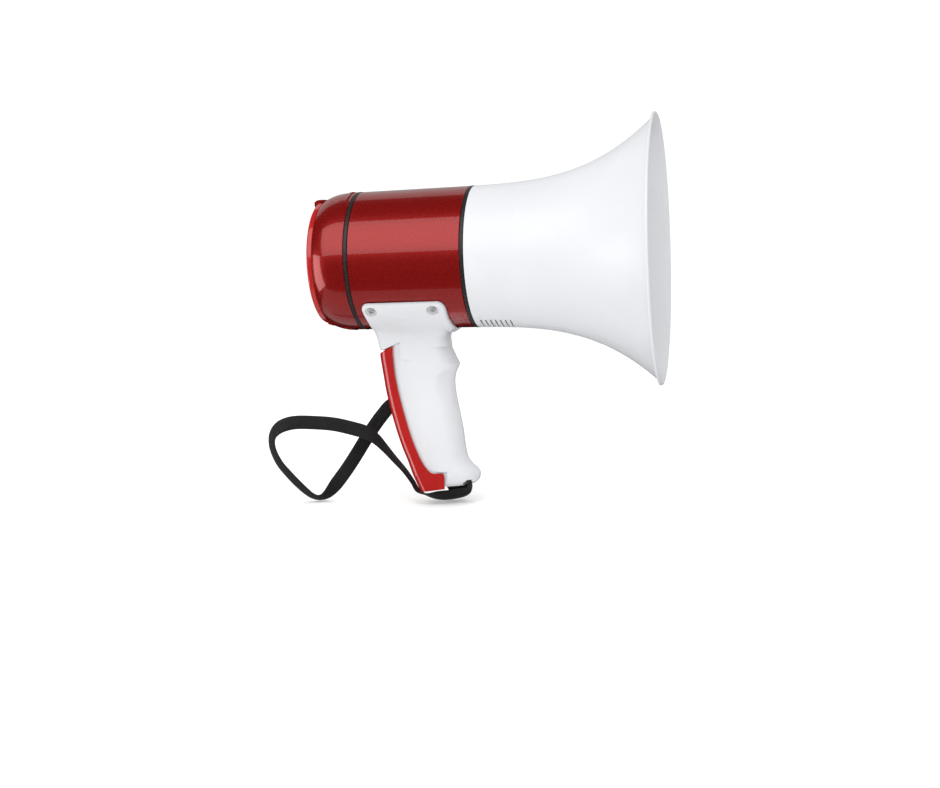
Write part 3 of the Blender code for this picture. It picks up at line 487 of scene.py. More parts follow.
def block(a, b):
    corners = [(a[0], a[1]), (b[0], a[1]), (b[0], b[1]), (a[0], b[1])]
    return prism(corners, a[2], b[2], along="Z")


def aim(start, direction):
    """Frame at start whose X axis points along direction."""
    turn = Vector((1, 0, 0)).rotation_difference(Vector(direction)).to_matrix().to_4x4()
    return Matrix.Translation(start) @ turn


def rod(start, end, radius, steps=32):
    axis = Vector(end) - Vector(start)
    outline = [(0, 0), (0, radius), (axis.length, radius), (axis.length, 0)]
    return spun(outline, steps, aim(start, axis))


def merged(parts):
    """One bmesh that holds several separate solids."""
    total = bmesh.new()
    for bm in parts:
        mesh = bpy.data.meshes.new("scratch")
        bm.to_mesh(mesh)
        bm.free()
        total.from_mesh(mesh)
        bpy.data.meshes.remove(mesh)
    return total


def arc(centre, radius, start, end, steps):
    """Points on an arc, in degrees from the first axis."""
    points = []
    for k in range(steps + 1):
        a = math.radians(start + (end - start) * k / steps)
        points.append((centre[0] + radius * math.cos(a), centre[1] + radius * math.sin(a)))
    return points


def obround(centre, length, height, steps=16):
    """Slot outline with round ends, lying along the first axis."""
    half = (length - height) / 2
    right = arc((centre[0] + half, centre[1]), height / 2, -90, 90, steps)
    left = arc((centre[0] - half, centre[1]), height / 2, 90, 270, steps)
    return right + left


def smooth_curve(controls, per_span):
    """Smooth curve through the control points (Catmull-Rom), of any dimension."""
    pts = [Vector(c) for c in controls]
    pts = [pts[0] * 2 - pts[1]] + pts + [pts[-1] * 2 - pts[-2]]
    out = []
    for a, b, c, d in zip(pts, pts[1:], pts[2:], pts[3:]):
        for k in range(per_span):
            t = k / per_span
            p = b * 2 + (c - a) * t + (a * 2 - b * 5 + c * 4 - d) * t ** 2
            out.append((p + (b * 3 - a - c * 3 + d) * t ** 3) * 0.5)
    out.append(pts[-2])
    return out


def table_value(table, z):
    """Straight-line value at z in a table of (z, value) with z going down."""
    if z >= table[0][0]:
        return table[0][1]
    for (z1, v1), (z2, v2) in zip(table, table[1:]):
        if z >= z2:
            return v1 + (v2 - v1) * (z1 - z) / (z1 - z2)
    return table[-1][1]


def screw_head(radius, height, place, shank=3.0):
    """Pan-head screw with a cross recess; its head's underside is at place and faces back along X."""
    dome = [(height * math.sin(a), radius * math.cos(a) ** 0.6) for a in (0.0, 0.35, 0.7, 1.0, 1.3)]
    outline = [(-shank, 0), (-shank, radius * 0.5), (0, radius * 0.5)] + dome + [(height, 0)]
    obj = to_object("screw", spun(outline, 32, place))
    slots = []
    for turn in (20, 110):
        wide, tall = radius * 0.14, radius * 0.62
        slot = block((height * 0.35, -wide, -tall), (height * 2, wide, tall))
        spin = Matrix.Rotation(math.radians(turn), 4, "X")
        bmesh.ops.transform(slot, matrix=place @ spin, verts=slot.verts)
        slots.append(slot)
    carve(obj, ("DIFFERENCE", slots[0]), ("DIFFERENCE", slots[1]))
    return obj


def named(obj, name, mat):
    obj.name = name
    obj.data.name = name
    obj.data.materials.clear()
    obj.data.materials.append(mat)
    return obj


# ---------------------------------------------------------------- horn

def bell_radius(u):
    """Outer radius of the bell at u, from 0 at the throat to 1 at the mouth."""
    throat = BODY_FRONT_R + 0.1
    return throat + (BELL_R - 1.2 - throat) * (0.06 * u + 0.94 * u ** 3)


def bell_point(u, depth):
    step = 0.001
    length = MOUTH_X - BELL_START_X
    slope = (bell_radius(u + step) - bell_radius(u)) / (step * length)
    normal = Vector((-slope, 1)).normalized()
    point = Vector((BELL_START_X + length * u, bell_radius(u))) - normal * depth
    return point.x, point.y


def bell(mats):
    wall, rows = 2.2, 56
    outer = [(BELL_START_X + (MOUTH_X - BELL_START_X) * u, bell_radius(u)) for u in
             [0.985 * k / rows for k in range(rows + 1)]]
    lip_centre = (MOUTH_X - 1.4, BELL_R - 1.4)
    lip = arc(lip_centre, 1.4, 120, -60, 14)
    inner = [bell_point(0.975 * k / rows, wall) for k in range(rows, 0, -1)]
    inner.append((BELL_START_X, BODY_FRONT_R + 0.1 - wall))
    obj = to_object("bell", spun(outer + lip + inner), mats["white_plastic"])
    slits = []
    for k in range(SLITS):
        x = FIRST_SLIT_X + SLIT_PITCH * k
        ring = [(x, 57.0), (x + SLIT_WIDTH, 57.0), (x + SLIT_WIDTH, 66.0), (x, 66.0)]
        slits.append(spun(ring, 24, start=180 - SLIT_SWEEP / 2, sweep=SLIT_SWEEP))
    carve(obj, ("DIFFERENCE", merged(slits)))
    settle(obj, stands_for=["horn_bell"])


def reflex_parts(mats):
    """The bullet-shaped reflector in the bell and the tone tube behind it."""
    angles = [math.pi / 2 * k / 16 for k in range(17)]
    nose = [(172 - 14 * (1 - math.cos(a)), 36.5 * math.sin(a)) for a in angles]
    outer = nose + [(150, 38.3), (125, 41), (100, 43.5)]
    inner = [(100, 41.7), (125, 39.2), (150, 36.3), (158, 33), (163, 25), (165, 14), (165.5, 0)]
    obj = to_object("reflector_cup", spun(outer + inner, 96), mats["grey_plastic"])
    ribs = []
    for k in range(3):
        turn = Matrix.Rotation(math.radians(120 * k), 4, "X")
        rib = block((130, -1, 22.2), (146, 1, 37.5))
        bmesh.ops.transform(rib, matrix=HORN @ turn, verts=rib.verts)
        ribs.append(rib)
    collar = spun([(128, 21.1), (146.5, 21.1), (146.5, 23.4), (128, 23.4)], 64)
    carve(obj, ("UNION", collar), ("UNION", merged(ribs)))
    settle(obj, stands_for=["reflector"])
    flange = [(86, 59.4), (88.5, 59.4), (88.5, 30), (89.6, 24), (92, 19.5), (96, 17.3), (102, 16.6)]
    outer = flange + [(125, 18.3), (148, 20.4), (149.4, 20.2)]
    inner = [(150, 19.6), (148, 18.6), (100, 14.7), (86, 14.2)]
    add("tone_pipe", spun(outer + inner, 96), mats, "grey_plastic", stands_for=["tone_tube"])


# ---------------------------------------------------------------- body

def seam_ring(name, node, mats):
    x1, x2, r = low(node).x, high(node).x, high(node).z - AXIS_Z
    crown = [(x1, r - 0.5), (x1 + 0.3, r - 0.1), (x1 + 0.8, r)]
    crown += [(x2 - 0.8, r), (x2 - 0.3, r - 0.1), (x2, r - 0.5)]
    add(name, spun([(x1, r - 4)] + crown + [(x2, r - 4)]), mats, "black_rubber", stands_for=[node])


def radial(x, angle, radius):
    """Frame on the body at angle degrees up from its bottom, X pointing straight out."""
    a = math.radians(angle)
    out = Vector((0, math.sin(a), -math.cos(a)))
    return aim(Vector((x, 0, AXIS_Z)) + out * radius, out)


def body_shell(mats):
    r1, r2 = BODY_REAR_R, BODY_FRONT_R
    x1, x2 = BODY_LOW_X, BODY_HIGH_X
    wall = [(x1, r1 - 0.35), (x1 + 0.35, r1)]
    wall += [(x1 + (x2 - x1) * k / 6, r1 + (r2 - r1) * k / 6) for k in range(1, 6)]
    wall += [(x2 - 0.35, r2), (x2, r2 - 0.35), (x2, r2 - 2.6), (x1, r1 - 2.6)]
    add("body_shell", spun(wall), mats, "red_lacquer", stands_for=["body_tube"])


def cap_radius(x):
    return BODY_REAR_R - 8.4 * (max(0.0, CAP_START_X + 0.2 - x) / 33.0) ** 3


def cap_line(start, end, raised=0.0, steps=14):
    xs = [start + (end - start) * k / steps for k in range(steps + 1)]
    return [(x, cap_radius(x) + raised) for x in xs]


def flap_outline(margin):
    """Top view of the latch flap: wide at its hinge, narrow at its tab."""
    side = []
    for k in range(17):
        x = -54.9 - 25.3 * k / 16
        side.append((x, min(29.8, 30.5 * math.sqrt(1 - ((x + 54.9) / 28.0) ** 2)) + margin))
    side[0] = (-54.9 + margin * 2, 29.8 + margin)
    side.append((-84.0, 12.5 + margin))
    return side + [(x, -y) for x, y in reversed(side)]


def rear_cap(mats):
    outer = [(CAP_START_X, cap_radius(CAP_START_X) - 0.3)]
    outer += cap_line(CAP_START_X - 0.3, CAP_END_X + 0.6, steps=22)
    outer.append((CAP_END_X, cap_radius(CAP_END_X) - 0.7))
    inner = [(CAP_END_X, 50.2), (-76.0, 51.4), (-68.0, 53.6), (-60.0, 55.2), (CAP_START_X, 55.4)]
    cap = to_object("rear_cap", spun(outer + inner), mats["red_lacquer"])
    raised = cap_line(-58.0, CAP_END_X, raised=0.6) + cap_line(CAP_END_X, -58.0, raised=-2.0)
    lobe = to_object("lobe", spun(raised, 60, start=150, sweep=60))
    carve(lobe, ("INTERSECT", prism(arc((CAP_END_X - 1, 0), 22.5, -90, 90, 40), 60.0, 100.0, along="Z")))
    room = cap_line(-53.9, -84, raised=4.0) + cap_line(-84, -53.9, raised=-3.0)
    recess = to_object("recess", spun(room, 60, start=-36, sweep=72))
    carve(recess, ("INTERSECT", prism(flap_outline(0.45), 150.0, 210.0, along="Z")))
    px, pz = DOOR_PIN
    lx, lz = LATCH_PIN
    steps = [
        ("UNION", lobe),
        ("DIFFERENCE", block((-81.6, -8.4, AXIS_Z - 62), (-71.5, 8.4, AXIS_Z - 47))),
        ("DIFFERENCE", recess),
        ("DIFFERENCE", block((-58.5, -6.9, AXIS_Z + 56.6), (-53.8, 6.9, AXIS_Z + 64))),
    ]
    for y in (-8.5, 8.5):
        steps.append(("UNION", block((-58.2, y - 1.6, AXIS_Z + 56), (-53.6, y + 1.6, AXIS_Z + 60.2))))
    steps.append(("DIFFERENCE", rod((px, -15.4, pz), (px, 15.4, pz), 1.29)))
    steps.append(("DIFFERENCE", rod((lx, -10.0, lz), (lx, 10.0, lz), 0.88)))
    carve(cap, *steps)
    settle(cap, stands_for=["rear_housing"])


def latch_flap(mats):
    x, z = LATCH_PIN
    outline = cap_line(-55.4, CAP_END_X) + cap_line(CAP_END_X, -55.4, raised=-1.7)
    flap = to_object("latch_flap", spun(outline, 64, start=-34, sweep=68), mats["red_lacquer"])
    tab = [(-79, 53.2), (-79, 54.7), (-83.5, 55.0), (-86.4, 54.9), (-87.6, 54.4), (-88.2, 53.6)]
    tab += [(-88.2, 47.4), (-87.6, 46.8), (-86.9, 46.8), (-86.9, 51.5), (-84, 53.0)]
    steps = [
        ("INTERSECT", prism(flap_outline(0.0), 150.0, 210.0, along="Z")),
        ("UNION", prism([(a, b + AXIS_Z) for a, b in tab], -12.4, 12.4)),
    ]
    ear = [(-86.0, 54.6), (-88.4, 54.4), (-90.3, 52.8), (-90.3, 50.0), (-89.8, 48.6), (-87.1, 46.9)]
    for y in (-10.9, 10.9):
        steps.append(("UNION", prism([(a, b + AXIS_Z) for a, b in ear], y - 1.4, y + 1.4)))
    for y in (-8.5, 8.5):
        steps.append(("DIFFERENCE", block((-59, y - 2, AXIS_Z + 50), (-54, y + 2, AXIS_Z + 64))))
    steps.append(("UNION", rod((x, -6.5, z), (x, 6.5, z), 1.8)))
    steps.append(("DIFFERENCE", rod((x, -7, z), (x, 7, z), 0.88)))
    carve(flap, *steps)
    settle(flap, "door_latch", ["door_latch"])


# ---------------------------------------------------------------- rear door

def door_shell(mats):
    px, pz = DOOR_PIN
    ring = [(DOOR_BACK_X, 0), (DOOR_BACK_X, 53.2), (-81.9, RING_R)]
    crown = arc((DOOR_REAR_X + 2.9, 50.4), 1.0, 90, 90, 1)[:1]
    ring += [(DOOR_REAR_X + 1.9, RING_R)]
    for a in (0.3, 0.7, 1.1, 1.5):
        ring.append((DOOR_REAR_X + 1.6 - 1.6 * math.sin(a), RING_R - 1.9 + 1.9 * math.cos(a)))
    ring += [(DOOR_REAR_X, crown[0][1] - 1.8), (DOOR_REAR_X + 0.25, 47.6), (DOOR_REAR_X + 0.8, 46.8)]
    ring += [(DOOR_REAR_X + 1.5, 46.4), (DOOR_FLOOR_X - 0.4, RECESS_R + 0.1), (DOOR_FLOOR_X, RECESS_R - 0.4)]
    ring.append((DOOR_FLOOR_X, 0))
    door = to_object("door_shell", spun(ring), mats["red_plastic"])
    arm = [(-84.6, pz + 3.2), (-84.6, pz - 1.0), (-80.0, pz - 2.5)] + arc((px, pz), 2.7, -95, 90, 16)
    steps = [
        ("UNION", prism(arm, -8, 8)),
        ("DIFFERENCE", rod((px, -9, pz), (px, 9, pz), 1.29)),
        ("DIFFERENCE", block((-90, -13.1, AXIS_Z + 46.3), (-81, 13.1, AXIS_Z + 56))),
        ("DIFFERENCE", prism(obround((0, WINDOW_Z), 63.6, 12.4), -88, -80, along="X")),
        ("DIFFERENCE", prism(obround((0, SLIDER_Z), 46.5, 5.7), -88, -80, along="X")),
    ]
    slots = []
    for k in range(-2, 3):
        half = math.sqrt(9.3 ** 2 - (3.3 * abs(k) + 0.8) ** 2)
        slots.append(prism(obround((0, MIC_Z + 3.3 * k), half * 2, 1.6), -88, -80, along="X"))
    steps.append(("DIFFERENCE", merged(slots)))
    for side in (-1, 1):
        hole = [(-0.1, 0), (-0.1, 2.9), (1.3, 2.9), (1.3, 1.5), (3, 1.5), (3, 0)]
        place = aim((DOOR_FLOOR_X, side * 32, AXIS_Z + 18), (1, 0, 0))
        steps.append(("DIFFERENCE", spun(hole, 32, place)))
        foot, tip = (DOOR_BACK_X - 0.5, side * 30, AXIS_Z - 22), (-74, side * 30, AXIS_Z - 22)
        steps.append(("UNION", rod(foot, tip, 2.2)))
    carve(door, *steps)
    settle(door, "rear_door", ["rear_door"])
    cloth = rod((-81.25, 0, MIC_Z), (-81.05, 0, MIC_Z), 10.2, 48)
    add("grille_cloth", cloth, mats, "grille_cloth", "rear_door")


def d_outline(inset):
    """The label's shape: a disc cut off flat along its top edge."""
    radius = 45.4 - inset
    lift = 45.4 * math.sin(math.radians(12.2)) - inset
    a = math.degrees(math.asin(lift / radius))
    return arc((0, AXIS_Z), radius, a, -180 - a, 90)


def label(mats):
    plate = to_object("label_foil", prism(d_outline(0), -83.95, -83.5, along="X"), mats["silver_plate"])
    carve(
        plate,
        ("DIFFERENCE", prism(obround((0, WINDOW_Z), 64.2, 13.0), -88, -80, along="X")),
        ("DIFFERENCE", prism(obround((0, SLIDER_Z), 47.1, 6.3), -88, -80, along="X")),
    )
    settle(plate, "rear_door", ["label_plate"])
    line = to_object("label_border", prism(d_outline(2.6), -84.0, -83.9, along="X"), mats["print_black"])
    carve(line, ("DIFFERENCE", prism(d_outline(3.1), -85, -83, along="X")))
    settle(line, "rear_door")
    marks = []
    for y in (-1.5, -0.5, 0.5, 1.5):
        marks.append(prism(obround((15.9 * y, WINDOW_Z - 9.6), 5.2, 0.8, 6), -84.0, -83.9, along="X"))
        marks.append(prism(obround((15.9 * y, WINDOW_Z + 9.4), 3.0, 0.8, 6), -84.0, -83.9, along="X"))
    wedge = [(-14, SLIDER_Z - 8.3), (14, SLIDER_Z - 8.3), (14, SLIDER_Z - 5.4)]
    marks.append(prism(wedge, -84.0, -83.9, along="X"))
    for y in (-19, 19):
        marks.append(block((-84.0, y - 1.7, SLIDER_Z - 7.2), (-83.9, y + 1.7, SLIDER_Z - 6.6)))
    marks.append(block((-84.0, 18.7, SLIDER_Z - 8.6), (-83.9, 19.3, SLIDER_Z - 5.2)))
    add("label_marks", merged(marks), mats, "print_black", "rear_door")


def button_cap(y, n, mats):
    head = [(-86.9, 0)]
    for a in (0.3, 0.6, 0.85, 1.05, 1.25, 1.42):
        head.append((-82.8 - 4.1 * math.cos(a) ** 0.8, 5.3 * math.sin(a) ** 0.9))
    head += [(-84.2, 5.3), (-82.8, 5.3), (-82.8, 4.3), (-79.4, 4.3), (-79.4, 0)]
    place = Matrix.Translation((0, y, WINDOW_Z))
    add(f"button_cap_{n}", spun(head, 48, place), mats, "red_plastic", f"button_{n}", [f"button_{n}"])


def control_parts(mats):
    for n in range(1, 5):
        y = (low(f"button_{n}").y + high(f"button_{n}").y) / 2
        button_cap(y, n, mats)
    knob = [(-86.8, 0), (-86.75, 1.0), (-86.5, 1.9), (-86.0, 2.7), (-85.4, 3.05), (-84.4, 3.1)]
    knob += [(-84.4, 1.6), (-78.8, 1.6), (-78.8, 0)]
    place = Matrix.Translation((0, KNOB_Y, SLIDER_Z))
    add("slider_knob", spun(knob, 48, place), mats, "red_plastic", "volume_knob", ["volume_knob"])
    for side, name in ((-1, "right"), (1, "left")):
        place = aim((-82.1, side * 32, AXIS_Z + 18), (-1, 0, 0))
        screw = named(screw_head(2.6, 1.0, place, 4.0), f"door_screw_{name}", mats["steel"])
        settle(screw, "rear_door", [f"panel_screw_{name}"])


# ---------------------------------------------------------------- grip

# Each station of the grip is a chord: front point, rear point, and a factor on its width.
GRIP_STATIONS = [
    ((20.5, 78.0), (-38.0, 78.0), 1.0),
    ((21.5, 70.5), (-37.8, 70.0), 1.0),
    ((24.4, 60.0), (-37.2, 62.0), 1.0),
    ((27.9, 52.0), (-36.9, 57.0), 1.0),
    ((29.4, 48.5), (-28.5, 53.5), 1.0),
    ((30.9, 45.2), (-28.2, 48.5), 1.0),
    ((32.0, 42.8), (-28.0, 45.2), 1.0),
    ((32.2, 42.0), (-28.0, 44.0), 1.0),
    ((31.8, 41.0), (-27.9, 42.6), 1.0),
    ((30.4, 38.0), (-27.7, 40.0), 1.0),
    ((28.6, 34.0), (-27.3, 35.0), 1.0),
    ((27.3, 26.0), (-26.6, 27.0), 1.0),
    ((28.2, 14.0), (-25.0, 14.0), 1.0),
    ((30.6, 0.0), (-22.6, 0.0), 1.0),
    ((33.0, -15.0), (-19.6, -15.0), 1.0),
    ((34.6, -31.0), (-15.2, -31.0), 1.0),
    ((36.6, -41.0), (-12.0, -42.0), 1.0),
    ((41.2, -47.5), (-9.8, -48.5), 1.0),
    ((45.6, -51.5), (-8.4, -54.0), 1.0),
    ((47.0, -55.5), (-7.0, -59.0), 0.98),
    ((45.6, -60.5), (-5.4, -63.5), 0.90),
    ((41.5, -63.8), (-4.0, -66.5), 0.72),
]

# Line in front of which the grip swells to its full width: (height, x).
SWELL_LINE = [
    (64.0, -60.0), (46.0, -15.9), (35.0, -15.6), (17.5, -13.4), (-2.0, -10.1),
    (-21.0, -6.0), (-39.0, -0.4), (-48.0, 3.6), (-75.0, 12.0),
]

# The neck between grip and flange: height, rear x, front x, half width.
NECK_STATIONS = [
    (58.0, -36.6, 24.6, 16.6), (62.0, -37.4, 23.9, 17.5), (66.0, -38.0, 23.4, 18.1),
    (69.5, -38.5, 24.4, 19.6), (72.5, -39.0, 27.0, 22.2), (75.2, -39.5, 30.4, 26.0),
    (78.0, -39.9, 32.6, 31.2), (81.0, -40.2, 33.2, 35.5),
]


def ease(value, start, end):
    """Smooth step from 0 at start to 1 at end."""
    t = max(0.0, min(1.0, (value - start) / (end - start)))
    return t * t * (3 - 2 * t)


def grip_half_width(x, z):
    """Wider ahead of the swell line, with a hollow for the finger under the slanting ridge of the bump."""
    swell_x = table_value(SWELL_LINE, z)
    swell = (GRIP_HALF - CORE_HALF + 0.05) * ease(x, swell_x, swell_x + 12.0)
    below = 42.0 - 0.5 * (32.2 - x) - z
    hollow = 2.4 * ease(x, 12.0, 22.0) * ease(below, 0.0, 2.5) * (1 - ease(below, 4.0, 28.0))
    return CORE_HALF - 0.05 + swell - hollow


def grip_section(front, rear, factor, side):
    """Half of the grip's cross-section, from the rear's centre round to the front's centre."""
    length = (front - rear).length
    nose, tail = 15.0, 6.0
    places = [(0.0, 0.0)]
    for k in range(1, 9):
        a = math.pi / 2 * k / 8
        places.append((tail * (1 - math.cos(a)), math.sin(a) ** 0.8))
    places += [(tail + (length - nose - tail) * k / 10, 1.0) for k in range(1, 10)]
    for k in range(13):
        a = math.pi / 2 * k / 12
        places.append((length - nose * (1 - math.sin(a)), math.cos(a)))
    loop = []
    for along, share in places:
        x, z = rear.lerp(front, along / length)
        half = grip_half_width(x, z) * factor * share
        loop.append((x, side * (half if share > 1e-6 else -1.0), z))
    return loop


def grip_body(side):
    flat = [(*f, *r, w) for f, r, w in GRIP_STATIONS]
    fronts = smooth_curve([(a, b, w) for a, b, _, _, w in flat], 5)
    rears = smooth_curve([(c, d, w) for _, _, c, d, w in flat], 5)
    return loft([grip_section(f.xy, r.xy, f.z, side) for f, r in zip(fronts, rears)])


def neck(side):
    """Fillet that carries the grip's sides out to the flange."""
    rows = smooth_curve([(x1, x2, w) for _, x1, x2, w in NECK_STATIONS], 4)
    heights = smooth_curve([(z, 0, 0) for z, *_ in NECK_STATIONS], 4)
    sections = []
    for row, height in zip(rows, heights):
        x1, x2, w = row
        rear = arc((x1 + 6, w - 6), 6, 180, 90, 8)
        front = arc((x2 - 10, w - 10), 10, 90, 0, 10)
        loop = [(x1, -1.0)] + rear + front + [(x2, -1.0)]
        sections.append([(x, side * y, height.x) for x, y in loop])
    return loft(sections)


def flange(side):
    """Saddle flange of one shell: a curved plate against the body, rounded along its rim."""
    layers = []
    for inset, r in ((0.0, FLANGE_OUT_R - 1.3), (0.5, FLANGE_OUT_R - 0.5), (1.3, FLANGE_OUT_R)):
        inner = FLANGE_IN_R - 1.0
        plate = [(-45, inner), (38, inner), (38, r), (-45, r)]
        start = 178 if side < 0 else 118
        layer = to_object("layer", spun(plate, 40, start=start, sweep=64))
        carve(layer, ("INTERSECT", prism(flange_side_view(inset), -80, 80)))
        layers.append(layer)
    return layers


def flange_side_view(inset):
    top = AXIS_Z - 36.0
    radius = 6.5 - inset
    left = arc((-34.0, top - 6.5), radius, 90, 180, 10)
    right = arc((25.9, top - 6.5), radius, 0, 90, 10)
    down = [(-39.0 + inset, 81.0), (-37.8, 66.0), (22.5, 66.0), (28.5, 70.0), (33.8 - inset, 75.0)]
    return right + left + down + [(32.4 - inset, 84.0)]


def flange_screw_frames(side):
    return [radial(x, side * SCREW_ANGLE, 0) for x in SCREW_X]


def trigger_top_room():
    return [(-42, 52.5), (-17.0, 63.5), (-17.0, 44.0), (-42, 40.0)]


def trigger_foot_room():
    return [(1.5, -46.5), (8.5, -51.4), (20.8, -51.6), (21.2, -74), (-20, -76), (-20, -48)]


def sorted_ys(a, b):
    return (a, b) if a < b else (b, a)


def grip_shell(name, node, side, mats):
    shell = to_object(name, grip_body(side), mats["white_plastic"])
    steps = [("UNION", neck(side))]
    steps += [("UNION", layer) for layer in flange(side)]
    clear = [(-50, 0), (-50, FLANGE_IN_R), (45, FLANGE_IN_R), (45, 0)]
    steps.append(("DIFFERENCE", spun(clear, ROUND)))
    y1, y2 = sorted_ys(side * 0.15, side * -9.0)
    steps.append(("DIFFERENCE", block((-60, y1, -90), (60, y2, 100))))
    y1, y2 = sorted_ys(side * -1.0, side * 12.6)
    upper = [(-24.8, 50), (-23.0, 32), (-20.8, 5), (19.8, 5), (19.2, 27), (20.2, 42), (16, 60), (-20, 60)]
    steps.append(("DIFFERENCE", prism(upper, y1, y2)))
    y1, y2 = sorted_ys(side * CORE_HALF, side * 30)
    steps.append(("DIFFERENCE", prism(trigger_top_room(), y1, y2)))
    steps.append(("DIFFERENCE", prism(trigger_foot_room(), y1, y2)))
    ledge = [(-42, 52.5), (-27.9, 58.7), (-27.9, 52), (-42, 48)]
    steps.append(("DIFFERENCE", prism(ledge, -25, 25)))
    y1, y2 = sorted_ys(side * 13.4, side * 30)
    corner = [(-42, 52.5), (-24.2, 60.3), (-24.2, 52.0), (-42, 48)]
    steps.append(("DIFFERENCE", prism(corner, y1, y2)))
    if side < 0:
        steps.append(("DIFFERENCE", block((34, -15, -72), (41.5, -1.2, -59))))
    else:
        steps.append(("DIFFERENCE", block((20.5, 4.8, -72), (35, 12.2, -59))))
    recess = [(58, 0), (58, 1.8), (62.9, 1.8), (62.9, 5.0), (63.4, 5.2), (72, 5.6), (72, 0)]
    for place in flange_screw_frames(side):
        steps.append(("DIFFERENCE", spun(recess, 40, place)))
    if side > 0:
        hole = [(0, 0), (0, 1.7), (14.2, 1.7), (14.2, 3.4), (22, 3.4), (22, 0)]
        for x, z in GRIP_SCREWS:
            steps.append(("DIFFERENCE", spun(hole, 32, aim((x, 0, z), (0, 1, 0)))))
    carve(shell, *steps)
    settle(shell, stands_for=[node])


def grip_screw_heads(mats):
    frames = flange_screw_frames(1) + flange_screw_frames(-1)
    for n, place in enumerate(frames, 1):
        seat = place @ Matrix.Translation((63.2, 0, 0))
        screw = named(screw_head(3.3, 1.5, seat, 6.0), f"saddle_screw_{n}", mats["steel"])
        settle(screw, stands_for=[f"flange_screw_{n}"])
    for n, (x, z) in enumerate(GRIP_SCREWS, 1):
        place = aim((x, 14.5, z), (0, 1, 0))
        screw = named(screw_head(3.0, 1.4, place, 20.0), f"shell_screw_{n}", mats["steel"])
        settle(screw, stands_for=[f"grip_screw_{n}"])


# Chords across the trigger's side: outer (palm) point, inner point.
TRIGGER_STATIONS = [
    ((-36.8, 53.6), (-23.2, 60.0)),
    ((-36.7, 50.0), (-23.6, 51.0)),
    ((-34.9, 36.0), (-22.7, 36.0)),
    ((-32.4, 18.0), (-19.6, 18.0)),
    ((-28.9, 1.0), (-15.5, 0.0)),
    ((-25.0, -14.5), (-11.0, -17.0)),
    ((-20.3, -30.0), (-6.3, -31.0)),
    ((-16.0, -41.5), (-2.0, -41.0)),
    ((-13.2, -50.0), (2.5, -48.5)),
    ((-11.5, -55.0), (8.0, -52.8)),
    ((-10.0, -58.5), (17.6, -53.6)),
    ((-5.2, -69.6), (18.0, -66.6)),
]
TRIGGER_HALF = 17.9
TRIGGER_WALL = 2.0


def trigger_section(outer, inner):
    """Closed U, open towards the grip, with a well-rounded back."""
    length = (inner - outer).length
    flat, steps = 9.9, 12
    profile = [(length, TRIGGER_HALF), (length - 1.0, TRIGGER_HALF)]
    back = []
    for k in range(steps + 1):
        a = math.pi / 2 * k / steps
        profile.append((9 - 9 * math.sin(a), flat + (TRIGGER_HALF - flat) * math.cos(a)))
    for k in range(steps + 1):
        a = math.pi / 2 * (1 - k / steps)
        depth = TRIGGER_HALF - flat - TRIGGER_WALL
        back.append((9 - 6.9 * math.sin(a), flat + depth * math.cos(a)))
    back.append((length, TRIGGER_HALF - TRIGGER_WALL))
    outside = profile + [(a, -y) for a, y in reversed(profile)]
    inside = [(a, -y) for a, y in reversed(back)] + back
    loop = []
    for a, y in outside + inside:
        x, z = outer.lerp(inner, a / length)
        loop.append((x, y, z))
    return loop


def trigger_lever(mats):
    outers = smooth_curve([(*o, 0) for o, _ in TRIGGER_STATIONS], 6)
    inners = smooth_curve([(*i, 0) for _, i in TRIGGER_STATIONS], 6)
    lever = to_object("trigger_lever", loft([trigger_section(o.xy, i.xy) for o, i in zip(outers, inners)]),
                      mats["red_plastic"])
    settle(lever, "trigger", ["trigger"])


def coil_spring(mats):
    turns, radius, wire, steps = 4, 3.0, 0.45, 32
    start, end = high("trigger_spring").x - wire, low("trigger_spring").x + wire
    path = []
    for k in range(turns * steps + 1):
        a = 2 * math.pi * k / steps
        x = start + (end - start) * k / (turns * steps)
        path.append(Vector((x, radius * math.cos(a), -5 + radius * math.sin(a))))
    sections = []
    for i, p in enumerate(path):
        ahead, behind = path[min(i + 1, len(path) - 1)], path[max(i - 1, 0)]
        along = (ahead - behind).normalized()
        side = along.cross(Vector((1, 0, 0))).normalized()
        other = along.cross(side)
        ring = []
        for k in range(10):
            a = 2 * math.pi * k / 10
            ring.append(p + side * (wire * math.cos(a)) + other * (wire * math.sin(a)))
        sections.append(ring)
    spring = add("return_spring", loft(sections), mats, "steel", stands_for=["trigger_spring"])
    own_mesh(spring)


# ---------------------------------------------------------------- strap

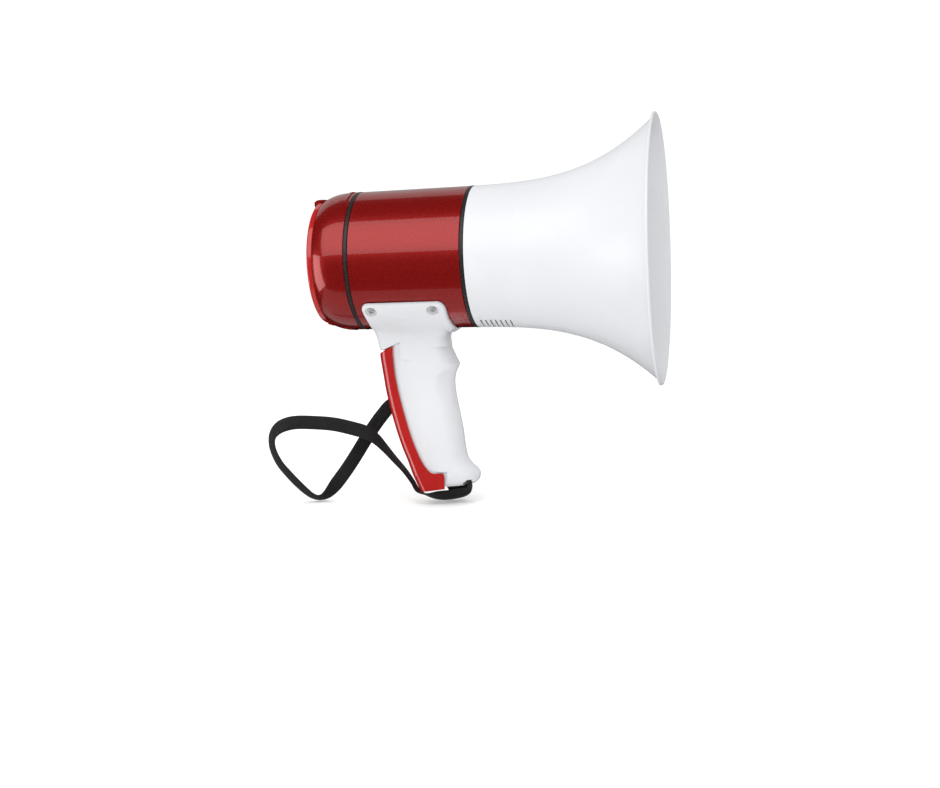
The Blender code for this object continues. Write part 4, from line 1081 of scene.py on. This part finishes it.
# The strap's centreline with the direction of its width at each point.
STRAP_ROUTE = [
    ((37.8, -8.0, -60.2), (0, 1, 0)),
    ((39.3, -8.0, -65.0), (0, 0.98, -0.20)),
    ((34.8, -8.0, -70.2), (0, 0.76, -0.65)),
    ((23.0, -8.0, -72.8), (0, 0.64, -0.77)),
    ((11.0, -8.0, -73.8), (0, 0.68, -0.73)),
    ((0.5, -8.0, -73.4), (0, 0.93, -0.37)),
    ((-8.4, -7.5, -69.4), (0, 1, 0)),
    ((-13.4, -7.0, -61.4), (0, 1, 0.03)),
    ((-20.0, -6.5, -52.0), (0, 1, 0.1)),
    ((-29.0, -6.0, -41.8), (0.08, 0.98, 0.15)),
    ((-37.8, -6.0, -31.5), (0.18, 0.95, 0.24)),
    ((-47.0, -6.0, -22.0), (0.32, 0.80, 0.50)),
    ((-55.3, -7.0, -16.8), (0.30, 0.53, 0.79)),
    ((-64.3, -7.5, -13.8), (0.26, 0.15, 0.95)),
    ((-82.5, -8.0, -9.4), (0.17, 0.14, 0.98)),
    ((-101.0, -8.0, -7.6), (0.07, 0.11, 0.99)),
    ((-119.5, -8.0, -7.2), (-0.06, 0.09, 0.99)),
    ((-131.8, -7.5, -9.8), (-0.46, 0.30, 0.84)),
    ((-139.7, -6.5, -14.6), (-0.68, 0.54, 0.50)),
    ((-144.0, -5.3, -21.6), (-0.73, 0.68, 0.05)),
    ((-144.0, -4.0, -32.0), (-0.70, 0.68, -0.21)),
    ((-139.0, -2.5, -44.8), (-0.67, 0.64, -0.37)),
    ((-130.2, -1.0, -56.5), (-0.63, 0.62, -0.47)),
    ((-119.5, 0.6, -68.2), (-0.58, 0.65, -0.50)),
    ((-111.0, 2.2, -75.6), (-0.42, 0.76, -0.50)),
    ((-103.6, 3.8, -77.6), (-0.14, 0.85, -0.50)),
    ((-96.0, 5.6, -73.6), (0.31, 0.74, -0.59)),
    ((-85.0, 8.2, -60.4), (0.77, 0.11, -0.63)),
    ((-76.6, 10.6, -49.0), (0.80, 0.12, -0.58)),
    ((-69.3, 13.0, -38.0), (0.82, 0.13, -0.56)),
    ((-63.4, 15.2, -28.6), (0.82, 0.13, -0.56)),
    ((-54.9, 18.0, -15.8), (0.80, 0.12, -0.59)),
    ((-46.6, 20.6, -4.8), (0.75, 0.08, -0.65)),
    ((-38.0, 22.8, 4.2), (0.45, 0, -0.89)),
    ((-27.0, 24.2, 6.8), (-0.15, 0, -0.99)),
    ((-16.0, 24.6, -0.5), (-0.68, 0, -0.73)),
    ((-6.5, 24.3, -14.0), (-0.90, 0, -0.43)),
    ((0.5, 24.0, -31.0), (-0.95, 0, -0.3)),
    ((6.5, 23.4, -48.0), (-0.95, 0, -0.3)),
    ((13.5, 21.6, -62.5), (-0.95, 0, -0.3)),
    ((20.5, 16.6, -71.6), (-0.98, 0, -0.2)),
    ((26.0, 11.2, -71.6), (-1, 0, 0)),
    ((27.8, 8.8, -65.5), (-1, 0, 0)),
    ((27.8, 8.5, -60.2), (-1, 0, 0)),
]
RIB_PITCH = 1.15


def even_line(points, pitch):
    """Places (index, share) at an even pitch along a line of points, and the line's length."""
    lengths = [0.0]
    for a, b in zip(points, points[1:]):
        lengths.append(lengths[-1] + (b - a).length)
    total = lengths[-1]
    count = round(total / pitch)
    places, i = [], 0
    for k in range(count + 1):
        at = total * k / count
        while i < len(points) - 2 and lengths[i + 1] < at:
            i += 1
        places.append((i, (at - lengths[i]) / (lengths[i + 1] - lengths[i])))
    return places, total


def webbing_strap(mats):
    """Flat woven strap: a rib across it at every RIB_PITCH and a thinner woven edge."""
    centre = smooth_curve([p for p, _ in STRAP_ROUTE], 12)
    widths = smooth_curve([w for _, w in STRAP_ROUTE], 12)
    places, length = even_line(centre, RIB_PITCH / 3)
    sections, line = [], []
    for k, (i, t) in enumerate(places):
        p = centre[i].lerp(centre[i + 1], t)
        tangent = (centre[i + 1] - centre[i]).normalized()
        across = widths[i].lerp(widths[i + 1], t)
        across = (across - tangent * across.dot(tangent)).normalized()
        normal = tangent.cross(across)
        rib = 0.18 * math.cos(2 * math.pi * k / 3)
        loop = []
        for y, thick in ((1.0, 0.30), (0.965, 0.62), (0.90, 0.72), (0.86, 0.94), (0.4, 1.0), (-0.4, 1.0),
                         (-0.86, 0.94), (-0.90, 0.72), (-0.965, 0.62), (-1.0, 0.30)):
            loop.append((y * STRAP_WIDTH / 2, thick * STRAP_THICK / 2 + (rib if thick > 0.5 else 0)))
        loop += [(y, -n) for y, n in reversed(loop)]
        sections.append([p + across * y + normal * n for y, n in loop])
        if k % 9 == 0 or k == len(places) - 1:
            line.append(p * MM)
    strap = add("webbing_strap", loft(sections), mats, "webbing", stands_for=["strap"])


# ---------------------------------------------------------------- pieces that keep their CAD shape

def dress_cad_nodes(mats):
    slots = {part["node"]: part["material_slot"] for part in frame["record"]["subparts"]}
    for name, obj in frame["nodes"].items():
        obj.data.materials.clear()
        obj.data.materials.append(mats[slots[name]])


def build():
    mats = make_materials()
    dress_cad_nodes(mats)
    camera()
    lights()
    floor()
    webbing_strap(mats)
    bell(mats)
    reflex_parts(mats)
    seam_ring("front_band", "front_seam_ring", mats)
    seam_ring("rear_band", "rear_seam_ring", mats)
    body_shell(mats)
    rear_cap(mats)
    latch_flap(mats)
    door_shell(mats)
    label(mats)
    control_parts(mats)
    grip_shell("right_grip", "handle_right_shell", -1, mats)
    grip_shell("left_grip", "handle_left_shell", 1, mats)
    grip_screw_heads(mats)
    trigger_lever(mats)
    coil_spring(mats)


build()
